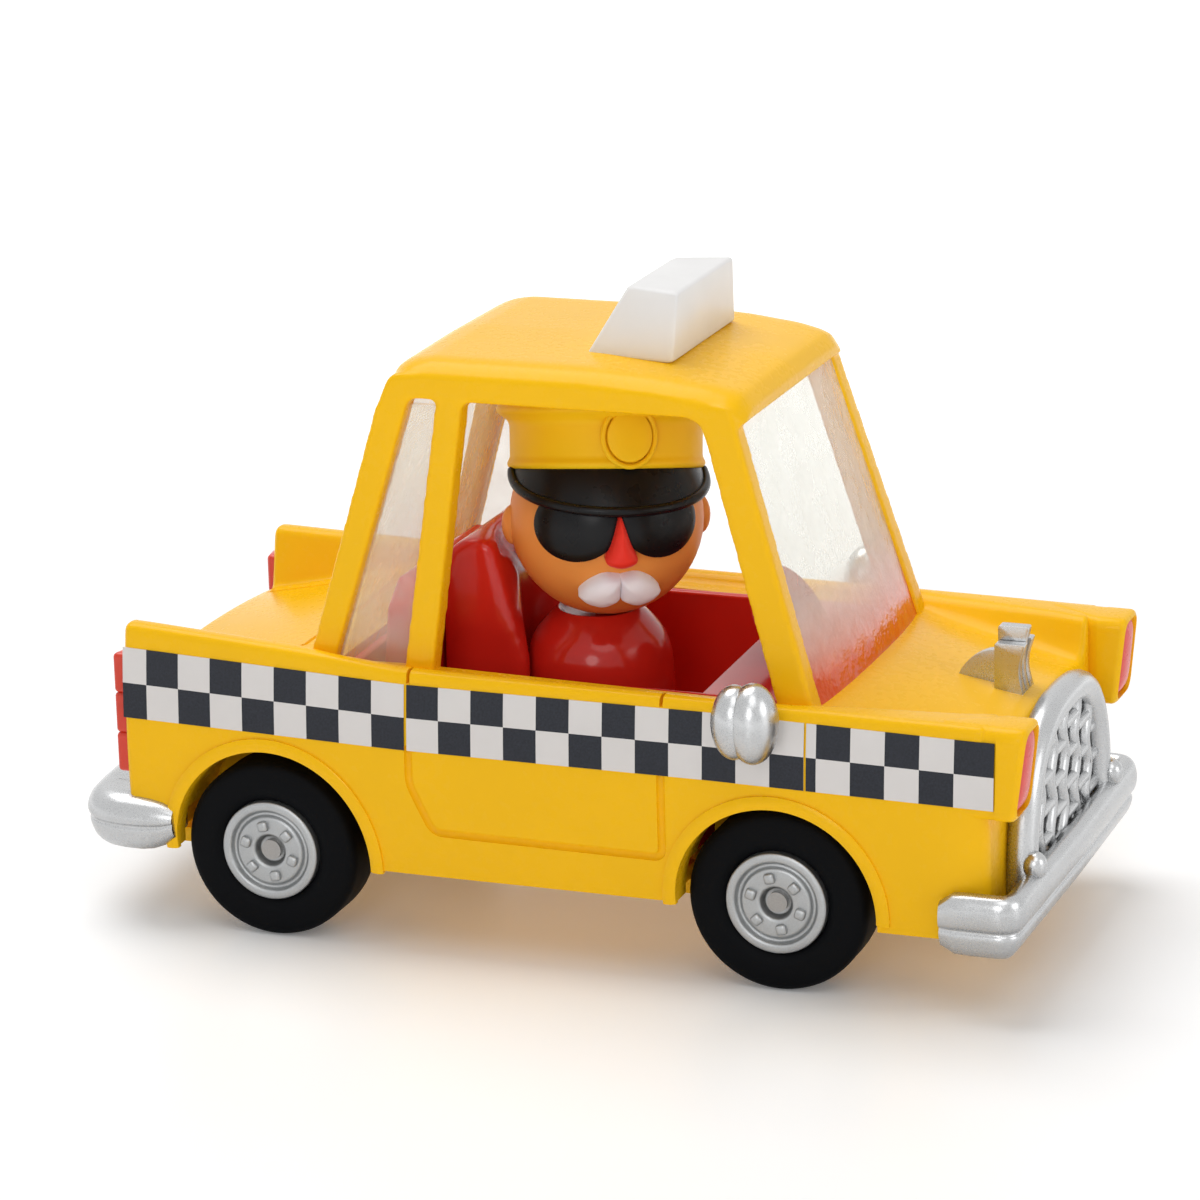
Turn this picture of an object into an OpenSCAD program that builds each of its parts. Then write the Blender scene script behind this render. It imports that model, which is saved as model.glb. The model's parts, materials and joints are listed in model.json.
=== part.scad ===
// Toy taxi: a cast body on free-rolling wheels, with a driver whose head turns.
// +X is forward, +Y the driver's left, +Z up. Stations are measured from the middle of the wheelbase.

/* [Running gear] */
// Distance between the two axles
wheelbase = 52; // [50:0.5:56]
// Outer diameter of a tyre
tyre_d = 17.8; // [16.5:0.1:18.2]
// Width of a tyre
tyre_w = 6.2; // [5:0.1:6.6]
// Depth of the round on a tyre's shoulder
tyre_round = 0.9; // [0.4:0.1:1.4]
// Diameter of a hub
hub_d = 10.2; // [9:0.1:11.4]
// Depth of a hub's outer face inside the body's widest side
hub_in = 1.5; // [1.3:0.1:2.2]
// Width of a hub's raised rim ring
hub_rim_w = 0.7; // [0.4:0.1:1.2]
// Depth of the hub's dish inside its rim
hub_dish = 0.5; // [0.2:0.1:1]
// Number of holes round a hub
hub_holes = 6; // [4:1:8]
// Diameter of the holes round a hub
hub_hole_d = 1.2; // [0.6:0.1:1.6]
// Depth of the holes round a hub
hub_hole_deep = 0.5; // [0.2:0.1:1]
// Diameter of an axle
axle_d = 2; // [1.6:0.1:2.4]
// Gap all round an axle in its bearing
axle_clear = 0.08; // [0.03:0.01:0.1]
// Gap all round a pressed joint
press_gap = 0.02; // [0.01:0.01:0.03]

/* [Body] */
// Widest width of the body over the doors
body_w = 43; // [41.8:0.1:45]
// Narrowing of each side of the body towards the fin ends
tail_in = 1.8; // [1:0.1:3]
// Length of body behind the rear axle
rear_overhang = 15; // [13.5:0.1:18]
// Length of body ahead of the front axle
front_overhang = 24.1; // [22.5:0.1:27]
// Height of the sill's lower edge
sill_z = 8.4; // [8:0.1:9.2]
// Height of the front corner's lower edge
chin_z = 7.4; // [7.2:0.1:8.2]
// Height of the fin ends
fin_z = 30.7; // [29.5:0.1:33]
// Height of the belt at the middle pillar
belt_z = 28.7; // [28.3:0.1:29.3]
// Height of the belt at the foot of the windscreen
cowl_z = 28; // [27.7:0.1:28.2]
// Height of the lamp pods
pod_z = 27.3; // [26.8:0.1:27.6]
// Depth of a lamp pod from top to bottom
pod_h = 7.1; // [6.6:0.1:8]
// Width of a fender ridge and its lamp pod
pod_w = 6; // [5.6:0.1:6.6]
// Reach of the pods past the nose
pod_reach = 3.3; // [2.8:0.1:4.5]
// Radius of the fin's rear corner
fin_round = 1.8; // [0.8:0.1:3]
// Radius of the front wheel arches
front_arch_r = 9.9; // [9.6:0.1:10.6]
// Radius of the rear wheel arches
rear_arch_r = 10.5; // [9.8:0.1:10.8]
// Width of the raised lip round an arch
lip_w = 1.2; // [0.6:0.1:1.6]
// Height that an arch lip stands proud
lip_h = 0.35; // [0.15:0.05:0.6]
// Wall of the casting
wall = 1.6; // [1.2:0.1:2]
// Height of the hood's crown over its edges
hood_crown = 1.2; // [0.4:0.1:2]
// Drop of the hood from the windscreen to the nose
hood_drop = 2.6; // [1.5:0.1:3.4]
// Drop of the trunk deck from the cabin to the tail
deck_drop = 3.8; // [2:0.1:5]
// Width and depth of an engraved door seam
seam = 0.3; // [0.15:0.05:0.45]

/* [Cabin] */
// Width of the cabin at the belt
cabin_w = 36.4; // [35.6:0.1:37]
// Width of the cabin under the roof rail
rail_w = 32; // [31:0.1:33]
// Height of the roof over the upper edge of the windows
roof_h = 4.4; // [4:0.1:7]
// Length from the front axle forward to the foot of the windscreen
screen_ahead = 3.6; // [3:0.1:4.2]
// Length of the roof from the driver's neck forward to the head of the windscreen
roof_ahead = 19; // [18:0.1:20]
// Length from the rear axle forward to the foot of the rear pillars
rear_ahead = 4.5; // [4:0.1:5.5]
// Length of the roof from the driver's neck back to the head of the rear pillars
roof_behind = 16; // [15:0.1:17]
// Wall of the pillars and the roof
pillar_wall = 2.2; // [1.8:0.1:2.6]
// Width of the front pillars seen from the side
front_pillar_w = 4.8; // [4:0.1:5.4]
// Width of the middle pillars
mid_pillar_w = 3; // [2.4:0.1:3.6]
// Width of the rear pillars
rear_pillar_w = 3.4; // [2.8:0.1:4]
// Length from the foot of the rear pillars to the foot of the middle pillars
quarter_l = 9.9; // [9.2:0.1:10.5]
// Length of the quarter window along its head
quarter_top_l = 1.3; // [0.6:0.1:2]
// Thickness of the clear glazing
glass_t = 0.9; // [0.6:0.1:1.2]
// Bow of the windscreen out of its opening
screen_bow = 1.5; // [0.8:0.1:2]
// Gap between neighbouring mouldings
seat_gap = 0.05; // [0.03:0.01:0.1]

/* [Trim] */
// Height of the front bumper
front_bumper_h = 7.1; // [6:0.1:8]
// Height of the front bumper's lower edge
front_bumper_z = 5.6; // [5:0.1:6.4]
// Reach of the front bumper past the lamp pods
front_bumper_reach = 2.1; // [1.4:0.1:3]
// Length that the front bumper wraps back along the side
front_bumper_wrap = 8; // [6:0.1:9]
// Height of the rear bumper
rear_bumper_h = 7.4; // [6:0.1:8]
// Height of the rear bumper's lower edge
rear_bumper_z = 7.6; // [7:0.1:8.4]
// Reach of the rear bumper past the fins
rear_bumper_reach = 6.8; // [5.5:0.1:8]
// Length that the rear bumper wraps forward along the side
rear_bumper_wrap = 3.2; // [1.5:0.1:4]
// Distance that a bumper's ends stand out from the body's sides
bumper_proud = 1.5; // [1:0.1:2.4]
// Radius of the grille's arch
grille_r = 14.6; // [13.6:0.1:14.9]
// Thickness of the grille's surround
grille_rim = 2; // [1.4:0.1:2.6]
// Depth of the grille's surround
grille_deep = 3; // [2:0.1:3.8]
// Number of upright bars in the grille
grille_bars = 5; // [3:2:7]
// Width of the grille's upright bars
grille_bar_w = 1.3; // [0.9:0.1:1.6]
// Border of a lamp pod round its lens
pod_border = 0.75; // [0.5:0.05:1]
// Depth of a lamp pod's recess
pod_recess = 1.4; // [0.8:0.1:2]
// Crown of a headlamp lens
lens_crown = 0.7; // [0.3:0.1:1]
// Width of a tail lamp
tail_lamp_w = 2.6; // [2:0.1:3.2]
// Depth of a tail lamp behind the fin
tail_lamp_deep = 1; // [0.6:0.1:1.6]
// Height of a tail lamp
tail_lamp_h = 11.2; // [9:0.1:12]
// Height of the hood ornament's upright
ornament_h = 6.6; // [5:0.1:8]
// Width of each of the upright's three plates
ornament_plate = 1.3; // [0.9:0.1:1.8]
// Thickness of the ornament's fin
ornament_fin_t = 1; // [0.6:0.1:1.4]
// Length of the upright along the hood
ornament_l = 3; // [2:0.1:4]
// Radius of the ornament's fin
ornament_fin_r = 5.6; // [4:0.1:6.5]
// Height of a mirror's lobes
mirror_h = 7.4; // [6:0.1:8.5]
// Thickness of one lobe of a mirror
mirror_lobe = 3.8; // [3:0.1:4.6]
// Diameter of a mirror's arm
mirror_arm_d = 2; // [1.4:0.1:2.4]
// Width of the roof sign at its foot
sign_w = 18.5; // [15:0.1:20]
// Height of the roof sign
sign_h = 6.7; // [5:0.1:9]
// Length of the roof sign at its foot
sign_l = 9.4; // [7.5:0.1:11]
// Length of the roof sign at its top
sign_top_l = 5.6; // [4:0.1:7]
// Height of the chequer band
band_h = 6.4; // [5:0.1:7]
// Thickness of the printed film
film_t = 0.12; // [0.08:0.01:0.2]

/* [Cabin fittings] */
// Height of the tub's floor over the ground
tub_z = 10.4; // [10.3:0.1:11]
// Wall of the tub
tub_wall = 1; // [0.8:0.1:1.4]
// Height of the seat's cushion over the ground
cushion_z = 16.5; // [15:0.1:18]
// Width of the front seat
seat_w = 15.6; // [13:0.1:18]
// Height of the front seat's back over the ground
seat_z = 38.6; // [36:0.1:39]
// Height of the rear seat over the ground
rear_seat_z = 35; // [31:0.1:36]
// Room between the rear seat and each door card
rear_seat_side = 2.3; // [1:0.1:4]
// Diameter of the steering wheel
steering_d = 12; // [9:0.1:12.5]
// Thickness of the steering wheel
steering_t = 2; // [1.4:0.1:2.4]
// Lean of the steering wheel from upright
steering_lean = 32; // [20:1:40]

/* [Driver] */
// Diameter of the head
head_d = 19; // [17:0.1:19.2]
// Room between the cap and the glazing under the roof
head_room = 1.9; // [1.3:0.1:2.5]
// Length from the wheelbase's middle forward to the neck
neck_x = 2.5; // [1.5:0.1:3]
// Angle that the head is turned to the right of straight ahead
head_turn = 62; // [0:1:80]
// Height of the torso over the cushion
torso_h = 13.25; // [12.75:0.05:13.75]
// Diameter of the torso
torso_d = 14.6; // [12:0.1:15]
// Length from the wheelbase's middle forward to the torso's middle
torso_x = 1.5; // [1:0.1:2.2]
// Diameter of the neck pin
neck_pin_d = 3.2; // [2.4:0.1:4]
// Length of the neck pin inside the head
neck_pin_l = 6; // [4:0.1:8]
// Gap between the head and what it turns past
head_clear = 0.35; // [0.3:0.05:0.5]
// Height of the cap
cap_h = 8.6; // [7:0.1:9.2]
// Diameter of the cap's band
cap_d = 20; // [18.6:0.1:20.8]
// Diameter of the cap's flared top
cap_top_d = 22.2; // [20:0.1:23.4]
// Reach of the visor past the cap's band
visor_reach = 2.6; // [1.8:0.1:3]
// Drop of the visor
visor_drop = 2.8; // [2:0.1:3.4]
// Thickness of the visor
visor_t = 0.8; // [0.6:0.1:1.2]
// Diameter of a sunglass lens
lens_d = 8.2; // [7:0.1:8.8]
// Thickness of the sunglasses
lens_t = 0.7; // [0.4:0.1:1]

/* [Base] */
// Height of the base plate's underside over the ground
base_z = 6.2; // [5.8:0.1:6.3]
// Thickness of the base plate
base_t = 1.5; // [1.2:0.1:1.6]
// Gap between the base plate and the inner side of a tyre
base_gap = 1.1; // [0.7:0.1:2.4]
// Width of a bearing block along the car
bearing_l = 5; // [4:0.1:7]
// Thickness of the raised floor between the axles
floor_t = 1.4; // [1:0.1:1.8]
// Height of the walls behind the wheels
well_wall_h = 9; // [7:0.1:10]
// Length of the walls behind the wheels
well_wall_l = 17; // [14:0.1:18]
// Diameter of a base screw's shank
screw_d = 2; // [1.6:0.1:2.4]
// Diameter of a base screw's head
screw_head_d = 3.8; // [3.2:0.1:4.4]
// Height of a base screw's head
screw_head_h = 0.8; // [0.6:0.1:1]
// Length of a base screw's shank in the casting
screw_l = 6; // [4:0.1:8]

/* [Hidden] */
$fn = 64;
// Overrun of every cut past the face it cuts
over = 1;
// Stations along the car
front_axle_x = wheelbase / 2;
rear_axle_x = -wheelbase / 2;
tail_x = rear_axle_x - rear_overhang;
pod_x = front_axle_x + front_overhang;
nose_x = pod_x - pod_reach;
screen_foot = front_axle_x + screen_ahead;
screen_head = neck_x + roof_ahead;
rear_foot = -rear_axle_x - rear_ahead;
rear_head = roof_behind - neck_x;
mid_foot = rear_foot - quarter_l;
mid_head = rear_head - rear_pillar_w - quarter_top_l;
bumper_front_x = pod_x + front_bumper_reach;
bumper_rear_x = tail_x - rear_bumper_reach;
// The part's middle, so that the origin lies under the middle of its length
middle_x = (bumper_front_x + bumper_rear_x) / 2;
axle_z = tyre_d / 2;
// Widths of the body, and of the fins that the trunk's trough leaves
half_w = body_w / 2;
ridge_in = half_w - pod_w;
tail_w = body_w - 2 * tail_in;
fin_w = 3;
deck_in = tail_w / 2 - fin_w;
// Lower tuck of the body's sides and their lean at the belt
side_tuck = 0.9;
side_lean = 1;
side_low_share = 0.3;
side_mid_share = 0.62;
// Belt line, hood and deck
ledge_z = (fin_z + belt_z) / 2;
hood_rear_z = cowl_z - hood_crown;
hood_nose_z = hood_rear_z - hood_drop;
deck_crown = 0.8;
deck_gap = 0.8;
deck_front_z = belt_z - deck_crown;
deck_tail_z = deck_front_z - deck_drop;
deck_start_x = -rear_foot - deck_gap;
// Opening for the cabin
cowl_shelf = 3;
well_half = cabin_w / 2 - pillar_wall;
well_front_x = screen_foot - cowl_shelf;
well_rear_x = -rear_foot + pillar_wall;
// Chequer band
band_margin = 0.9;
band_inset = 2.8;
band_z = cowl_z - band_h - band_margin;
band_front_x = pod_x - band_inset;
door_margin = 0.3;
door_overlap = 0.2;
door_rear_x = -mid_foot + door_margin;
door_front_x = screen_foot + door_overlap;
film_split = 0.25;
// Driver, from the cushion up
cap_seat_share = 0.5;
torso_z = cushion_z + torso_h;
head_z = torso_z + head_clear + head_d / 2;
cap_z = head_z + cap_seat_share * head_d / 2;
spigot_d = 11;
spigot_h = 4;
ear_out = 0.9;
ear_r = 1.7;
sweep_r = head_d / 2 + ear_out + head_clear;
// Cabin, its roof over the driver's cap
roof_z = cap_z + cap_h + head_room + glass_t + seat_gap + pillar_wall;
window_top_z = roof_z - roof_h;
brow_h = 1.5;
brow_l = 8;
roof_brow_z = window_top_z + brow_h;
front_lean = atan((screen_foot - screen_head) / (window_top_z - cowl_z));
corner_in = 2.6;
screen_half = cabin_w / 2 - corner_in - pillar_wall;
corner_l = 6;
quarter_inset = 0.6;
rail_in = 0.8;
rail_drop = 1.4;
shoulder_in = 3;
// Wheels
hub_face = half_w - hub_in;
tyre_inset = 0.2;
tyre_out = hub_face - tyre_inset;
tyre_in = tyre_out - tyre_w;
// Interior
shelf_gap = 0.6;
shelf_z = axle_z + rear_arch_r + shelf_gap;
foot_rear_x = rear_axle_x + rear_arch_r + shelf_gap;
foot_front_x = front_axle_x - front_arch_r - shelf_gap;
dash_l = 12.4;
dash_gap = 0.5;
dash_x = screen_foot - dash_l;
dash_z = cowl_z - dash_gap;
tub_gap = 0.2;
tub_half = well_half - tub_gap;
rear_seat_w = 2 * (tub_half - tub_wall - rear_seat_side);
// Base
base_waist = 2 * (tyre_in - base_gap);
base_top = base_z + base_t;
base_half = well_half - tub_gap;
base_rear_x = tail_x + wall + tub_gap;
base_front_x = nose_x - wall - tub_gap;
wheel_gap = 1.2;
boss_d = 5.4;
front_boss_x = nose_x - boss_d;
rear_boss_x = tail_x + boss_d;
rib_half = base_waist / 2 - wall;

// Colours as seen
yellow = [0.97, 0.76, 0.08];
red = [0.75, 0.12, 0.09];
silver = [0.76, 0.76, 0.75];
black = [0.08, 0.08, 0.09];
white = [0.93, 0.93, 0.92];

// Puts the wheelbase where the whole length is centred
module place() {
    translate([-middle_x, 0, 0]) children();
}

// Extrudes a side view, drawn as station and height, to both sides
module across(half) {
    rotate([90, 0, 0]) linear_extrude(2 * half, center = true) children();
}

// Extrudes a front view, drawn as width and height, along the car
module along(from, to) {
    translate([from, 0, 0]) rotate([90, 0, 90]) linear_extrude(to - from) children();
}

// A cylinder that lies across the car
module pin_across(r, from, to) {
    translate([0, to, 0]) rotate([90, 0, 0]) cylinder(r = r, h = to - from);
}

// One child and its mirror image on the other side
module both_sides() {
    children();
    mirror([0, 1, 0]) children();
}

// Points of an arc from one angle to another
function arc(x, z, r, from, to, n = 6) =
    [for (i = [0:n]) let (a = from + (to - from) * i / n) [x + r * cos(a), z + r * sin(a)]];

// Points and their mirror images in reverse, which closes a symmetric outline
function mirrored(points) =
    concat(points, [for (i = [len(points) - 1:-1:0]) [-points[i][0], points[i][1]]]);

// Body outlines
function body_side() = concat(
    [[tail_x, sill_z]],
    arc(tail_x + fin_round, fin_z - fin_round, fin_round, 180, 90),
    [[-rear_foot, ledge_z], [-mid_foot, belt_z], [screen_foot, cowl_z], [pod_x, pod_z],
     [pod_x, pod_z - pod_h], [nose_x, pod_z - pod_h], [nose_x, chin_z],
     [front_axle_x + front_arch_r, chin_z], [front_axle_x - front_arch_r, sill_z]]);

function body_section(grow) = mirrored([
    [half_w - side_tuck + grow, 0],
    [half_w - side_tuck + grow, chin_z],
    [half_w + grow, side_low_share * fin_z + chin_z],
    [half_w + grow, side_mid_share * fin_z],
    [half_w - side_lean + grow, fin_z + over]]);

function body_plan(grow) = [
    [tail_x - over, -tail_w / 2 - grow], [-mid_foot, -half_w - grow],
    [pod_x + over, -half_w - grow], [pod_x + over, half_w + grow],
    [-mid_foot, half_w + grow], [tail_x - over, tail_w / 2 + grow]];

// Everything under the belt line, across the whole width
module belt_block() {
    across(body_w) polygon(body_side());
}

// The body's outer form, its sides moved out by grow
module body_form(grow = 0) {
    intersection() {
        belt_block();
        along(tail_x - over, pod_x + over) polygon(body_section(grow));
        linear_extrude(2 * fin_z) polygon(body_plan(grow));
    }
}

// A bed with a crown across it, from one station and height to another
module crowned(from, from_z, to, to_z, half, crown) {
    r = (half * half + crown * crown) / (2 * crown);
    run = sqrt(pow(to - from, 2) + pow(to_z - from_z, 2));
    dip = atan2(from_z - to_z, to - from);
    intersection() {
        translate([from, 0, from_z]) rotate([0, 90 + dip, 0])
            translate([r - crown, 0, 0]) cylinder(r = r, h = run, $fn = 128);
        across(half) polygon([
            [from, from_z - wall], [to, to_z - wall], [to, fin_z], [from, fin_z]]);
    }
}

// Raised lips round the wheel arches
module arch_lips() {
    for (a = [[front_axle_x, front_arch_r], [rear_axle_x, rear_arch_r]])
        intersection() {
            translate([a[0], 0, axle_z]) pin_across(a[1] + lip_w, -body_w, body_w);
            body_form(lip_h);
            translate([tail_x, -body_w, axle_z - wall]) cube([pod_x - tail_x, 2 * body_w, fin_z]);
        }
}

// Room for the wheels, open towards the ground
module wheel_cuts() {
    for (a = [[front_axle_x, front_arch_r], [rear_axle_x, rear_arch_r]])
        translate([a[0], 0, axle_z]) {
            pin_across(a[1], -body_w, body_w);
            translate([-a[1], -body_w, -axle_z]) cube([2 * a[1], 2 * body_w, axle_z]);
        }
}

// Trough between the fender ridges
module hood_cut() {
    across(ridge_in) polygon([
        [screen_foot - wall, hood_rear_z], [nose_x, hood_nose_z], [nose_x, 0], [pod_x + over, 0],
        [pod_x + over, fin_z], [screen_foot - wall, fin_z]]);
}

// Trough between the tail fins
module deck_cut() {
    across(deck_in) polygon([
        [deck_start_x, deck_front_z], [tail_x - over, deck_tail_z], [tail_x - over, fin_z + over],
        [deck_start_x, fin_z + over]]);
}

// Hollow of the casting under the hood and under the deck
module under_hollow() {
    across(half_w - side_tuck - wall) polygon([
        [well_front_x + wall, 0], [nose_x - wall, 0], [nose_x - wall, hood_nose_z - wall],
        [well_front_x + wall, hood_rear_z - wall]]);
    across(tail_w / 2 - wall) polygon([
        [tail_x + wall, 0], [well_rear_x - wall, 0], [well_rear_x - wall, deck_front_z - wall],
        [tail_x + wall, deck_tail_z - wall]]);
}

// Opening that the tub and the cabin stand in
module cabin_well() {
    translate([well_rear_x, -well_half, 0])
        cube([well_front_x - well_rear_x, 2 * well_half, fin_z + over]);
}

// Screw bosses that hang from the hood and the deck
module bosses() {
    for (b = [[front_boss_x, hood_nose_z], [rear_boss_x, deck_tail_z]])
        translate([b[0], 0, base_top]) difference() {
            cylinder(d = boss_d, h = b[1] - base_top);
            translate([0, 0, -over]) cylinder(d = screw_d + 2 * press_gap, h = screw_l + 2 * over);
        }
}

// Engraved outline of the front doors
seam_low = 4.6;
seam_kick = 3.6;
seam_gap = 0.2;
module door_seams() {
    low = sill_z + seam_low;
    kick = door_rear_x + seam_kick;
    end = front_axle_x - front_arch_r - lip_w - seam_gap;
    for (side = [-1, 1])
        translate([0, side * half_w, 0]) {
            translate([door_rear_x - seam / 2, -seam, low + seam_kick])
                cube([seam, 2 * seam, band_z - low - seam_kick]);
            translate([kick, -seam, low]) cube([end - kick, 2 * seam, seam]);
            translate([end - seam, -seam, low]) cube([seam, 2 * seam, band_z - low]);
        }
}

// Recesses in the lamp pods, their tops and outer sides set in for the lean of the body
lens_lean = 0.4;
lens_w = pod_w - 2 * pod_border - lens_lean;
lens_h = pod_h - 2 * pod_border - lens_lean;
module pod_pockets() {
    both_sides()
        translate([pod_x - pod_recess, ridge_in + pod_border, pod_z - pod_h + pod_border])
            cube([pod_recess + over, lens_w, lens_h]);
}

// The casting
module body_shell() {
    color(yellow) {
        difference() {
            union() {
                body_form();
                arch_lips();
            }
            hood_cut();
            deck_cut();
            cabin_well();
            under_hollow();
            wheel_cuts();
            pod_pockets();
            door_seams();
        }
        crowned(screen_foot - wall, hood_rear_z, nose_x, hood_nose_z, ridge_in, hood_crown);
        crowned(tail_x, deck_tail_z, deck_start_x, deck_front_z, deck_in, deck_crown);
        bosses();
    }
}

// Cabin outlines, moved in by inset
function cabin_side(inset) = [
    [-rear_foot + inset, cowl_z - over], [screen_foot - inset, cowl_z - over],
    [screen_foot - inset, cowl_z], [screen_head - inset, roof_brow_z - inset],
    [screen_head - brow_l - inset, roof_z - inset], [-rear_head + inset, roof_z - inset],
    [-rear_foot + inset, ledge_z]];

function cabin_section(inset) = mirrored([
    [cabin_w / 2 - inset, cowl_z - over],
    [rail_w / 2 - inset, window_top_z],
    [rail_w / 2 - rail_in - inset, roof_z - rail_drop],
    [rail_w / 2 - shoulder_in - inset, roof_z - inset],
    [0, roof_z - inset]]);

// The cabin's outer form, moved in by inset
module cabin_form(inset = 0) {
    intersection() {
        across(cabin_w) polygon(cabin_side(inset));
        along(-rear_foot - over, screen_foot + over) polygon(cabin_section(inset));
        // Corners of the windscreen, cut along the lean of the front pillars
        translate([screen_foot, 0, cowl_z]) rotate([0, -front_lean, 0])
            linear_extrude(3 * roof_z, center = true) polygon([
                [-inset, -cabin_w / 2 + corner_in + inset], [-corner_l - inset, -cabin_w / 2 + inset],
                [-2 * wheelbase, -cabin_w / 2 + inset], [-2 * wheelbase, cabin_w / 2 - inset],
                [-corner_l - inset, cabin_w / 2 - inset], [-inset, cabin_w / 2 - corner_in - inset]]);
    }
}

// Front side window as seen from the side
module front_window() {
    polygon([
        [-mid_foot + mid_pillar_w, cowl_z - over], [screen_foot - front_pillar_w, cowl_z - over],
        [screen_head - front_pillar_w, window_top_z], [-mid_head + mid_pillar_w, window_top_z]]);
}

// Quarter window as seen from the side
module quarter_window() {
    polygon([
        [-rear_foot + rear_pillar_w, ledge_z + quarter_inset], [-mid_foot, ledge_z + quarter_inset],
        [-mid_head, window_top_z], [-rear_head + rear_pillar_w, window_top_z]]);
}

// Opening of the windscreen and the rear window as seen from the front, drawn in by gap
module screen_window(gap = 0) {
    polygon(mirrored([
        [screen_half - gap, cowl_z - over],
        [rail_w / 2 - corner_in - pillar_wall - gap, window_top_z - gap]]));
}

// Front of the windscreen, which bows out of its opening, moved in by inset
module screen_bulge(inset = 0) {
    bow_r = (screen_half * screen_half + screen_bow * screen_bow) / (2 * screen_bow);
    intersection() {
        along(0, screen_foot + over + screen_bow) screen_window(seat_gap + inset);
        translate([screen_foot, 0, cowl_z]) rotate([0, -front_lean, 0])
            linear_extrude(3 * roof_z, center = true)
                translate([screen_bow - bow_r, 0]) circle(bow_r - inset);
    }
}

// Roof and pillars
module cabin_frame() {
    color(yellow) difference() {
        cabin_form();
        cabin_form(pillar_wall);
        across(cabin_w) front_window();
        across(cabin_w) quarter_window();
        along(0, screen_foot + over) screen_window();
        along(-rear_foot - over, 0) intersection() {
            screen_window();
            translate([-cabin_w, ledge_z + quarter_inset]) square([2 * cabin_w, roof_z]);
        }
        belt_block();
    }
}

// One clear moulding inside the frame, open at the front side windows
module window_glass() {
    outer = pillar_wall + seat_gap;
    color([0.9, 0.92, 0.9, 0.4]) difference() {
        union() {
            cabin_form(outer);
            screen_bulge();
        }
        cabin_form(outer + glass_t);
        screen_bulge(glass_t);
        across(cabin_w) front_window();
        belt_block();
        translate([-wheelbase, -cabin_w, 0]) cube([2 * wheelbase, 2 * cabin_w, ledge_z]);
    }
}

// Tub with a foot well, door cards, a dash and a rear shelf
module interior_tub() {
    color(red) difference() {
        union() {
            translate([foot_rear_x, -tub_half, tub_z])
                cube([foot_front_x - foot_rear_x, 2 * tub_half, dash_z - tub_z]);
            translate([well_rear_x + tub_gap, -tub_half, shelf_z])
                cube([well_front_x - well_rear_x - 2 * tub_gap, 2 * tub_half, dash_z - shelf_z]);
        }
        translate([foot_rear_x + tub_wall, -tub_half + tub_wall, tub_z + tub_wall])
            cube([foot_front_x - foot_rear_x - 2 * tub_wall, 2 * (tub_half - tub_wall), fin_z]);
        translate([well_rear_x + tub_gap + tub_wall, -tub_half + tub_wall, shelf_z + tub_wall])
            cube([dash_x - well_rear_x - tub_gap - tub_wall, 2 * (tub_half - tub_wall), fin_z]);
    }
}

// Front seat: cushion and back in one moulding, with room for the head to turn
seat_leg_room = 5.3;
seat_rear_room = 1.9;
torso_sunk = 2.4;
seat_front_x = foot_front_x - tub_wall - seat_leg_room;
seat_face_x = torso_x - torso_d / 2 + torso_sunk;
seat_back_x = foot_rear_x + tub_wall + seat_rear_room;
seat_lean_share = 0.45;
seat_side_r = 3.6;
module front_seat() {
    cushion = tub_z + tub_wall;
    rise = seat_z - cushion_z;
    color(red) difference() {
        across(seat_w / 2) polygon(concat(
            [[seat_back_x, cushion], [seat_front_x, cushion], [seat_front_x, cushion_z],
             [seat_face_x, cushion_z], [seat_face_x, cushion_z + seat_lean_share * rise]],
            arc(seat_back_x + seat_side_r, seat_z - seat_side_r, seat_side_r, 60, 180)));
        translate([neck_x, 0, head_z]) sphere(r = head_d / 2 + 2 * head_clear);
        translate([neck_x, 0, head_z - 2 * ear_r]) cylinder(r = sweep_r, h = head_d);
        translate([torso_x, 0, cushion_z]) cylinder(d = torso_d + 2 * head_clear, h = head_d);
    }
}

// Rear bench on the tub's shelf
rear_seat_r = 2.6;
rear_seat_t = 4.6;
rear_seat_lean = 1.2;
module rear_seat() {
    back = well_rear_x + tub_gap + tub_wall + rear_seat_lean;
    low = shelf_z + tub_wall;
    color(red) intersection() {
        across(rear_seat_w / 2) polygon(concat(
            [[back, low], [back + rear_seat_t, low]],
            arc(back + rear_seat_t - rear_seat_r, rear_seat_z - rear_seat_r, rear_seat_r, 0, 90),
            [[back + rear_seat_lean, rear_seat_z]]));
        along(-wheelbase, wheelbase) polygon(mirrored([
            [rear_seat_w / 2, 0], [rear_seat_w / 2, rear_seat_z - rear_seat_r],
            [rear_seat_w / 2 - rear_seat_r, rear_seat_z]]));
    }
}

// Chunky wheel on a column that rises from the dash
column_w = 4;
column_l = 4.4;
column_rise_share = 0.42;
steering_in = 2.2;
steering_x = dash_x + steering_in;
module steering_wheel() {
    centre_z = dash_z + column_rise_share * steering_d;
    color(red) difference() {
        union() {
            translate([steering_x, 0, centre_z]) rotate([0, -steering_lean, 0]) rotate([0, -90, 0])
                translate([0, 0, -steering_t / 2]) {
                    difference() {
                        cylinder(d = steering_d, h = steering_t);
                        translate([0, 0, steering_t / 2])
                            cylinder(d = steering_d - 2 * steering_t, h = steering_t);
                    }
                    cylinder(d = steering_t * 2, h = steering_t);
                }
            translate([steering_x, -column_w / 2, dash_z])
                cube([column_l, column_w, column_rise_share * steering_d]);
        }
        translate([dash_x, -tub_half, 0]) cube([dash_l, 2 * tub_half, dash_z]);
    }
}

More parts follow.
